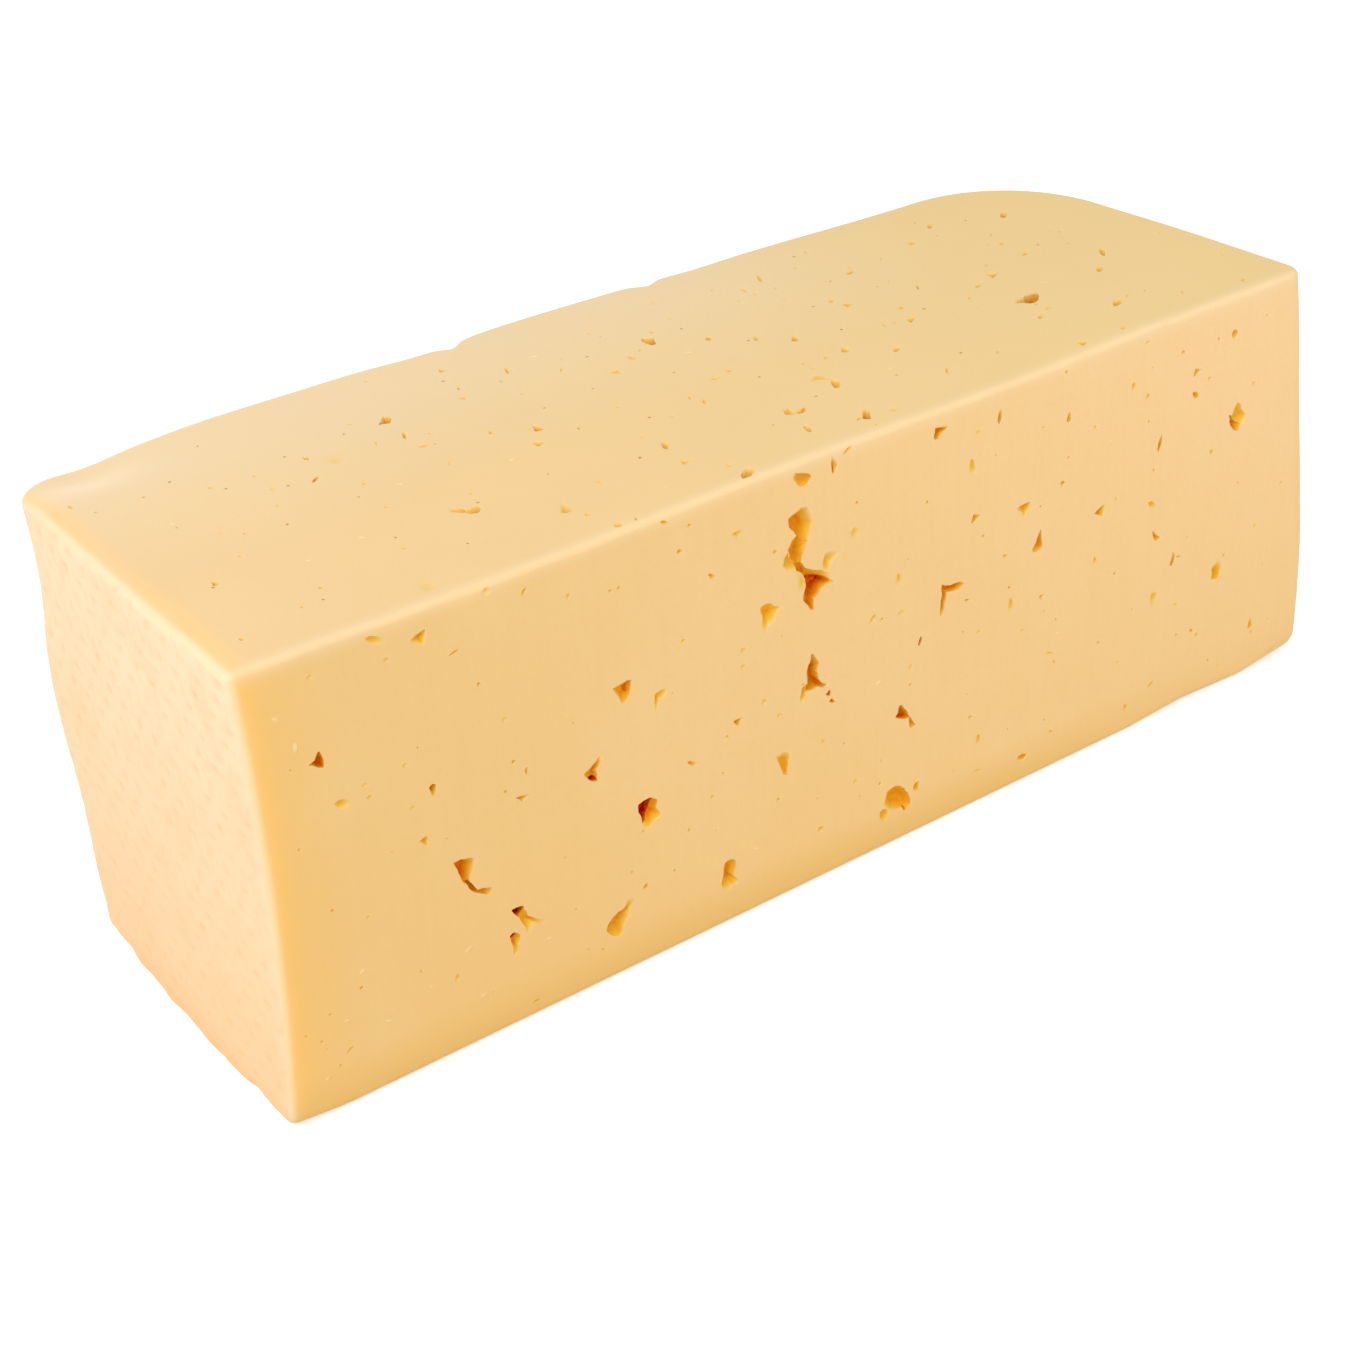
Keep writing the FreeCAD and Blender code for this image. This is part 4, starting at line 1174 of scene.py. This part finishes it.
def rind_colour(n, read, colours):
    """The rind: paler than the paste; more orange towards its foot, partly its own colour and partly painted
    shade; lighter towards the back, painted light; painted shade in its dimples.
    """
    # partly the rind's own colour and partly painted light: paler at the top, more orange at the foot
    rind = n.mix(n.between(read["rise"], 0.08, 0.95, smooth=False), colours.rind_foot, colours.rind_top)
    # painted shade: more orange along the foot
    rind = n.mix(n.between(read["rise"], 0.0, 0.09, 0.8, 0.0), rind, colours.rind_blush_and_foot_shade)
    blush = n.noise(read["place"], BLUSH_SCALE)
    rind = n.mix(n.between(blush, 0.45, 0.75, 0.0, 0.25), rind, colours.rind_blush_and_foot_shade)
    # painted light: lighter towards the back
    rind = n.mix(n.between(read["y"], 0.01, 0.05, 0.0, 0.3), rind, colours.rind_top)
    mottle = n.noise(read["place"], MOTTLE_SCALE, 1.0)
    rind = n.mix(n.between(mottle, 0.45, 0.75, 0.0, 0.16), rind, colours.rind_mottle_and_dimple_shade)
    # painted shade in the dimples
    rind = n.mix(n.times(read["dimple"], 0.4), rind, colours.rind_mottle_and_dimple_shade)
    # painted highlight along the rind's edges
    return n.mix(n.times(read["edge"], 0.18), rind, colours.rind_edge_highlight)


def eye_colour(n, read, colours):
    """The eyes: painted shade and light through the paste, darker the deeper they go, and duller on the top
    than on the front.
    """
    tone = n.times(read["tone"], n.between(read["grain"], 0.3, 0.7, 0.88, 1.12))
    front = n.ramp(tone, ((0.0, colours.eye_rim), (0.2, colours.eye_gold), (0.46, colours.eye_amber),
                          (0.74, colours.eye_deep), (0.95, colours.eye_dark)))
    top = n.ramp(tone, ((0.0, colours.eye_rim), (0.22, colours.top_eye), (0.6, colours.top_eye_deep)))
    return n.mix(n.times(read["crown"], 0.8), front, top)


def skin_of(points, faces):
    return BVHTree.FromPolygons([tuple(p) for p in points], [tuple(f) for f in faces])


def set_attribute(mesh, name, values):
    attribute = mesh.attributes.get(name) or mesh.attributes.new(name, "FLOAT", "POINT")
    attribute.data.foreach_set("value", np.asarray(values, np.float32))


def vertex_places(mesh):
    """Vertex places in the shape code's millimetres."""
    flat = np.empty(len(mesh.vertices) * 3)
    mesh.vertices.foreach_get("co", flat)
    return flat.reshape(-1, 3) / MM - SHIFT


def side_distances(points):
    """How far points lie inside the front, right, back, left and top, in millimetres."""
    x, y, z = points.T
    level = np.clip(z / HEIGHT, 0, 1)
    corners = plan_corners(level)
    out = []
    for i in range(4):
        a, b = corners[i], corners[(i + 1) % 4]
        along = unit(b - a)
        out.append(-(along[:, 1] * (x - a[:, 0]) - along[:, 0] * (y - a[:, 1])))
    out.append(HEIGHT - z)
    return out


def smooth_share(value, low, high):
    share = np.clip((value - low) / (high - low), 0, 1)
    return share * share * (3 - 2 * share)


def rind_share(points):
    """1 on the rind, 0 on the two cut faces."""
    front, right, back, left, top = side_distances(points)
    outer = np.minimum(np.minimum(right, back), left)
    cut_face = np.minimum(front, top)
    radius = CORNER_RADII_TOP[2]
    past = points[:, :2] - (TOP_LENGTH - radius, DEPTH - radius)
    in_corner = (past > 0).all(1)
    outer = np.where(in_corner, np.minimum(radius - np.hypot(*past.T), outer), outer)
    return smooth_share(cut_face - outer, -0.4, 0.8)


def colour(name, description, value):
    return bpy.props.FloatVectorProperty(name=name, description=description, default=linear(value),
                                         subtype="COLOR", size=4, min=0, max=1)


def length(name, description, default):
    return bpy.props.FloatProperty(name=name, description=description, default=default, unit="LENGTH",
                                   precision=5)


def power(name, description, default):
    return bpy.props.FloatProperty(name=name, description=description, default=default, unit="POWER")


class CheeseColours(bpy.types.PropertyGroup):
    """Colours of the paste, its eyes and its rind."""

    # front and top colours along the block and down the front: partly the paste's own, partly painted light
    front_left: colour("Front left", "Cut front near the left end", (240, 200, 133))
    front_right: colour("Front right", "Cut front near the right end", (252, 214, 157))
    front_low: colour("Front low", "Cut front near the foot", (241, 199, 127))
    top_left: colour("Top left", "Top near the left end", (235, 201, 146))
    top_right: colour("Top right", "Top near the right end", (236, 205, 141))
    top_back: colour("Top back", "Top near the back", (236, 215, 181))
    cloud: colour("Cloud", "Cloudy patches of the paste", (247, 216, 164))
    streak: colour("Streak", "Knife streaks and grain", (236, 186, 108))
    band: colour("Amber band", "Paste that light comes through beside the left edge", (246, 196, 112))
    glow: colour("Glow", "Light through the paste at the left edge of the front", (254, 199, 108))
    glow_top: colour("Glow on top", "Light through the paste at the left edge of the top", (249, 205, 138))
    # painted shade along the foot of the front
    foot: colour("Foot", "Cut front along its foot", (233, 190, 108))
    # painted highlight along the cut edges
    edge: colour("Edge", "Pale cut edges", (255, 240, 216))
    # painted highlight on the eyes' lips, and the flakes' own pale colour
    lip: colour("Lip", "Pale lips round the eyes", (252, 228, 178))
    # rind top and foot: partly the rind's own colour and partly painted light
    rind_top: colour("Rind top", "Rind near the top", (254, 227, 187))
    rind_foot: colour("Rind foot", "Rind near the foot", (254, 211, 163))
    # painted highlight along the rind's edges
    rind_edge_highlight: colour("Rind edge", "Pale edges of the rind", (255, 236, 214))
    # the rind's own faint mottling, and painted shade in its dimples
    rind_mottle_and_dimple_shade: colour("Rind dimple", "The dimples of the rind", (244, 192, 136))
    # blush patches of the rind's own, and painted shade along its foot
    rind_blush_and_foot_shade: colour("Rind blush", "Orange blush of the rind", (252, 200, 146))
    # the eyes' colours are painted shade and light through the paste, from the rims down to the deepest
    # places
    eye_rim: colour("Eye rim", "Shallow slopes of the eyes", (241, 204, 122))
    eye_gold: colour("Eye gold", "Golden slopes of the eyes", (240, 190, 68))
    eye_amber: colour("Eye amber", "Half-way down in the eyes", (238, 166, 18))
    eye_deep: colour("Eye deep", "Floors of the deep eyes", (232, 122, 0))
    eye_dark: colour("Eye dark", "The deepest places", (205, 6, 0))
    top_eye: colour("Top eye", "Slopes of the eyes in the top", (226, 180, 88))
    top_eye_deep: colour("Top eye deep", "Floors of the eyes in the top", (176, 112, 18))


class CheeseRind(bpy.types.PropertyGroup):
    """The dimples that the mould's cloth leaves in the rind."""

    depth: length("Dimple depth", "How deep a dimple is", 0.0003)
    width: length("Dimple width", "How far a dimple reaches from its middle", 0.0015)
    across: length("Across", "Sideways step of the lattice", 0.0034)
    rise: length("Rise", "Upward step of the lattice", 0.0046)
    fall: length("Fall", "Downward step of the lattice", 0.0056)
    unevenness: length("Unevenness", "Height of the soft unevenness", 0.0005)


class CheesePinholes(bpy.types.PropertyGroup):
    """The small eyes that are scattered over the cut faces."""

    apart: length("Apart", "Least distance between two pinholes", 0.012)
    density: bpy.props.FloatProperty(name="Density", description="Most pinholes in a square metre",
                                     default=4000.0)
    least: length("Least", "Least width", 0.0005)
    greatest: length("Greatest", "Greatest width", 0.0010)
    seed: bpy.props.IntProperty(name="Seed", description="Seed of the scatter", default=5)


class CheeseStudio(bpy.types.PropertyGroup):
    """The camera and the lamps."""

    lens: bpy.props.FloatProperty(name="Lens", description="Focal length", default=58.65, unit="CAMERA")
    key: power("Key", "Power of the large lamp on the upper left", 9.1)
    fill: power("Fill", "Power of the lamp on the front right", 2.5)
    back: power("Back", "Power of the low lamp behind the block", 2.5)
    ambient: bpy.props.FloatProperty(name="Ambient", description="Strength of the room's light", default=0.58)


def pinhole_patch(name, face):
    """A patch that follows the skin of a cut face, well inside its edges."""
    cells = PATCH_CELLS
    along, down = (np.linspace(*ends, count + 1) for ends, count in zip(PATCHES[name], cells))
    points = [face.surface(a, d) for a in along for d in down]
    row = cells[1] + 1
    starts = [a * row + d for a in range(cells[0]) for d in range(cells[1])]
    faces = [(k, k + 1, k + 1 + row, k + row) for k in starts]
    return new_object(name + "_patch", to_frame(points), faces)


def pinhole_cutter():
    """A small lop-sided cone with its mouth up, one unit wide."""
    points, faces = [], []
    count = PINHOLE_SIDES
    for size, height, drift in PINHOLE_RINGS:
        for k in range(count):
            a = 2 * math.pi * k / count
            squash = 0.72 + 0.28 * math.cos(a * 2 + 0.7)
            points.append((size * math.cos(a) * squash + drift, size * math.sin(a), height))
    for r in range(len(PINHOLE_RINGS) - 1):
        for k in range(count):
            a, b = r * count + k, r * count + (k + 1) % count
            faces.append((a, a + count, b + count, b))
    faces.append(tuple(range(count)))
    faces.append(tuple(reversed(range(2 * count, 3 * count))))
    return new_object("pinhole_cutter", points, faces)


class CHEESE_OT_block(bpy.types.Operator):
    """Build the cheese block with its eyes, pinholes, cut edges and dimpled rind"""

    bl_idname = "cheese.block"
    bl_label = "Cheese block"

    def execute(self, context):
        scene = context.scene
        points, faces = block_mesh()
        points = swell_out(points)
        body = new_object("cheese_paste", to_frame(points), faces)
        self.add_relief(body, points, scene.cheese_rind)
        skin_points = vertex_places(body.data)
        skin_faces = [tuple(p.vertices) for p in body.data.polygons]
        skin = skin_of(skin_points, skin_faces)
        material = paste_material(scene.cheese_colours)
        front = Face(front_place, (0.0, -1.0, 0.0), skin)
        top = Face(top_place, (0.0, 0.0, 1.0), skin)
        cutters = self.cut_eyes(body, front, top)
        self.cut_pinholes(body, {"front": front, "top": top}, scene.cheese_pinholes, material)
        self.finish_skin(body, skin, cutters, material)
        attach(body, "root")
        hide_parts("cheese_block")
        return {"FINISHED"}

    def add_relief(self, body, points, rind):
        """Presses in the rind's dimples."""
        distances = side_distances(points)
        x, y, z = points.T
        nearest = np.argmin(np.stack(distances[:4]), 0)
        run = np.choose(nearest, [x, y, -x, -y]) * MM
        set_attribute(body.data, "run", run)
        set_attribute(body.data, "up", z * MM)
        set_attribute(body.data, "rind", rind_share(points) * smooth_share(z, 0.5, 5))
        apply_tree(body, rind_relief_tree(), {
            "Dimple Depth": rind.depth, "Dimple Width": rind.width, "Across": rind.across, "Rise": rind.rise,
            "Fall": rind.fall, "Unevenness": rind.unevenness})

    def cut_eyes(self, body, front, top):
        """Cuts the eyes of the front and the top in groups that don't touch, and returns all the cutters."""
        chance = random.Random(EYE_SEED)
        cutters = eye_list(front, FRONT_EYES, FRONT_HOLLOWS, chance)
        cutters += eye_list(top, TOP_EYES, TOP_HOLLOWS, chance)
        for group in in_groups(cutters):
            cut(body, tool_of("eye_cutters", [cutter[:2] for cutter in group]))
        rows = [(front, row) for row in FRONT_FLAKES] + [(top, row) for row in TOP_FLAKES]
        cut(body, tool_of("flakes", [flake(face, *row, chance) for face, row in rows]), "UNION")
        return cutters

    def cut_pinholes(self, body, faces, pinholes, material):
        """Cuts the scattered pinholes of the two cut faces."""
        tree = pinhole_tree()
        cutter = pinhole_cutter()
        patches = [pinhole_patch(name, face) for name, face in faces.items()]
        for k, patch in enumerate(patches):
            apply_tree(patch, tree, {
                "Cutter": cutter, "Apart": pinholes.apart, "Density": pinholes.density,
                "Least Size": pinholes.least, "Greatest Size": pinholes.greatest, "Seed": pinholes.seed + k,
                "Material": material})
            outward(patch.data)
            cut(body, patch)
        bpy.data.objects.remove(cutter)

    def finish_skin(self, body, skin, cutters, material):
        """Smooths the skin, keeps its creases and stores what the material reads."""
        mesh = body.data
        mesh.materials.clear()
        mesh.materials.append(material)
        for polygon in mesh.polygons:
            polygon.material_index = 0
        points = vertex_places(mesh)
        tone, lip = eye_marks(points, skin, cutters)
        front, _, _, left, top = side_distances(points)
        cut_edge = np.minimum(np.minimum(np.hypot(front, top), np.hypot(front, left)), np.hypot(left, top))
        rind = rind_share(points) * (tone < 0.05)
        set_attribute(mesh, "tone", tone)
        set_attribute(mesh, "lip", lip)
        set_attribute(mesh, "rim", cut_edge)
        set_attribute(mesh, "left_edge", left)
        set_attribute(mesh, "rind", rind)
        set_attribute(mesh, "crown", smooth_share(front - top, -1.5, 1.5) * (1 - rind))
        set_attribute(mesh, "rise", points[:, 2] / HEIGHT)
        mesh.shade_smooth()
        mesh.set_sharp_from_angle(angle=math.radians(CREASE_ANGLE))
        weigh = body.modifiers.new("weigh", "WEIGHTED_NORMAL")
        weigh.keep_sharp = True
        weigh.weight = FACE_WEIGHT
        settle(body)


def nearest_marks(cutter, point, count):
    """Painted shade and lip mark of a cutter at a point, from its nearest marks."""
    tree, marks = cutter
    total, tone, lip = 0.0, 0.0, 0.0
    for _, k, gap in tree.find_n(point, count):
        weight = 1 / (gap + 0.02) ** 2
        total, tone, lip = total + weight, tone + marks[k][0] * weight, lip + marks[k][1] * weight
    return tone / total, lip / total


def eye_marks(points, skin, cutters):
    """Painted shade at each place, from how far down in an eye it lies, and whether it is on a lip, which
    gets a painted highlight, or on a flake, which is pale of itself.
    """
    searches, lows, highs = [], [], []
    for places, _, marks in cutters:
        tree = KDTree(len(places))
        for k, place in enumerate(places):
            tree.insert(place, k)
        tree.balance()
        searches.append((tree, marks))
        lows.append(np.min(places, 0) - 0.05)
        highs.append(np.max(places, 0) + 0.05)
    lows, highs = np.array(lows), np.array(highs)
    tone, lip = np.zeros(len(points)), np.zeros(len(points))
    for k, point in enumerate(points):
        place, normal, _, gap = skin.find_nearest(Vector(point))
        if gap < 0.02:
            continue
        if (Vector(point) - place).dot(normal) > 0:
            lip[k] = 1.0
            continue
        around = np.nonzero(((point >= lows) & (point <= highs)).all(1))[0]
        own = [c for c in around if searches[c][0].find(point)[2] < 0.004]
        found = [nearest_marks(searches[c], point, 1 if own else 3) for c in own or around]
        tone[k], lip[k] = min(found, default=(0.0, 0.0))
        if not own:
            # painted shade for pinholes and other hollows, from their depth
            tone[k] = max(tone[k], DARKEST * (1 - math.exp(-gap / DARK_DEPTH / SMALL_DEPTH)))
            lip[k] *= gap < 0.2
    return tone, lip


def outward(mesh):
    """Turns a closed mesh's faces outwards."""
    work = bmesh.new()
    work.from_mesh(mesh)
    bmesh.ops.recalc_face_normals(work, faces=work.faces)
    work.to_mesh(mesh)
    work.free()
    mesh.update()


def area_lamp(name, target, away, size, watts, tint):
    """A soft lamp that stands this far away from its target and faces it."""
    data = bpy.data.lights.new(name, "AREA")
    data.shape = "RECTANGLE"
    data.size, data.size_y = size
    data.energy = watts
    data.color = tint
    lamp = bpy.data.objects.new(name, data)
    bpy.context.scene.collection.objects.link(lamp)
    lamp.location = target + Vector(away)
    lamp.rotation_euler = (-Vector(away)).to_track_quat("-Z", "Y").to_euler()


class CHEESE_OT_stage(bpy.types.Operator):
    """Set out the pale floor, the soft lamps and the camera"""

    bl_idname = "cheese.stage"
    bl_label = "Stage"

    def execute(self, context):
        studio = context.scene.cheese_studio
        self.add_floor()
        self.add_room(studio)
        self.add_camera(studio)
        context.scene.view_settings.view_transform = "Standard"
        return {"FINISHED"}

    def add_floor(self):
        corners = [(x * FLOOR_SIZE, y * FLOOR_SIZE, 0) for x, y in ((-1, -1), (1, -1), (1, 1), (-1, 1))]
        floor = new_object("floor", corners, [(0, 1, 2, 3)])
        floor.location.z = BLOCK_LOW.z - FLOOR_GAP
        material = bpy.data.materials.new("Pale floor")
        n = fresh_nodes(material)
        diffuse = n.add("ShaderNodeBsdfDiffuse")
        diffuse.inputs["Color"].default_value = FLOOR_TINT
        glow = n.add("ShaderNodeEmission")
        n.join(n.times(n.seen(), FLOOR_GLOW), glow.inputs["Strength"])
        both = n.add("ShaderNodeAddShader")
        n.join(diffuse.outputs[0], both.inputs[0])
        n.join(glow.outputs[0], both.inputs[1])
        n.join(both.outputs[0], n.add("ShaderNodeOutputMaterial").inputs["Surface"])
        floor.data.materials.append(material)

    def add_room(self, studio):
        world = bpy.data.worlds.new("Room")
        bpy.context.scene.world = world
        n = fresh_nodes(world)
        background = n.add("ShaderNodeBackground")
        light = n.between(n.seen(), 0.0, 1.0, studio.ambient, 1.0, smooth=False)
        n.join(light, background.inputs["Strength"])
        background.inputs["Color"].default_value = (1, 1, 1, 1)
        n.join(background.outputs[0], n.add("ShaderNodeOutputWorld").inputs["Surface"])
        middle = (BLOCK_LOW + BLOCK_HIGH) / 2
        for name, (away, size, tint) in LAMPS.items():
            area_lamp(name, middle, away, size, getattr(studio, name), tint)

    def add_camera(self, studio):
        """The camera stands in front of the left end, looking down along the block."""
        azimuth, drop, roll = map(math.radians, CAMERA_ANGLES)
        flat = math.cos(drop)
        ahead = Vector((math.sin(azimuth) * flat, math.cos(azimuth) * flat, -math.sin(drop)))
        right = Vector((math.cos(azimuth), -math.sin(azimuth), 0))
        up = right.cross(ahead)
        right, up = right * math.cos(roll) + up * math.sin(roll), up * math.cos(roll) - right * math.sin(roll)
        data = bpy.data.cameras.new("camera")
        data.lens = studio.lens
        data.sensor_width = 36
        camera = bpy.data.objects.new("camera", data)
        bpy.context.scene.collection.objects.link(camera)
        turn = Matrix((right, up, -ahead)).transposed().to_4x4()
        camera.matrix_world = Matrix.Translation(Vector(to_frame(CAMERA_PLACE))) @ turn
        bpy.context.scene.camera = camera


class CHEESE_PT_panel(bpy.types.Panel):
    """The cheese block's tools"""

    bl_label = "Dutch cheese block"
    bl_space_type = "VIEW_3D"
    bl_region_type = "UI"
    bl_category = "Cheese"

    def draw(self, context):
        scene = context.scene
        for group in (scene.cheese_colours, scene.cheese_rind, scene.cheese_pinholes, scene.cheese_studio):
            box = self.layout.box()
            for name in group.__annotations__:
                box.prop(group, name)
        self.layout.operator(CHEESE_OT_block.bl_idname)
        self.layout.operator(CHEESE_OT_stage.bl_idname)


CLASSES = (CheeseColours, CheeseRind, CheesePinholes, CheeseStudio, CHEESE_OT_block, CHEESE_OT_stage,
           CHEESE_PT_panel)
GROUPS = {"cheese_colours": CheeseColours, "cheese_rind": CheeseRind, "cheese_pinholes": CheesePinholes,
          "cheese_studio": CheeseStudio}


def register():
    for cls in CLASSES:
        bpy.utils.register_class(cls)
    for name, cls in GROUPS.items():
        setattr(bpy.types.Scene, name, bpy.props.PointerProperty(type=cls))


def unregister():
    for name in GROUPS:
        delattr(bpy.types.Scene, name)
    for cls in reversed(CLASSES):
        bpy.utils.unregister_class(cls)


def main():
    register()
    bpy.ops.cheese.block()
    bpy.ops.cheese.stage()


if __name__ == "__main__":
    main()
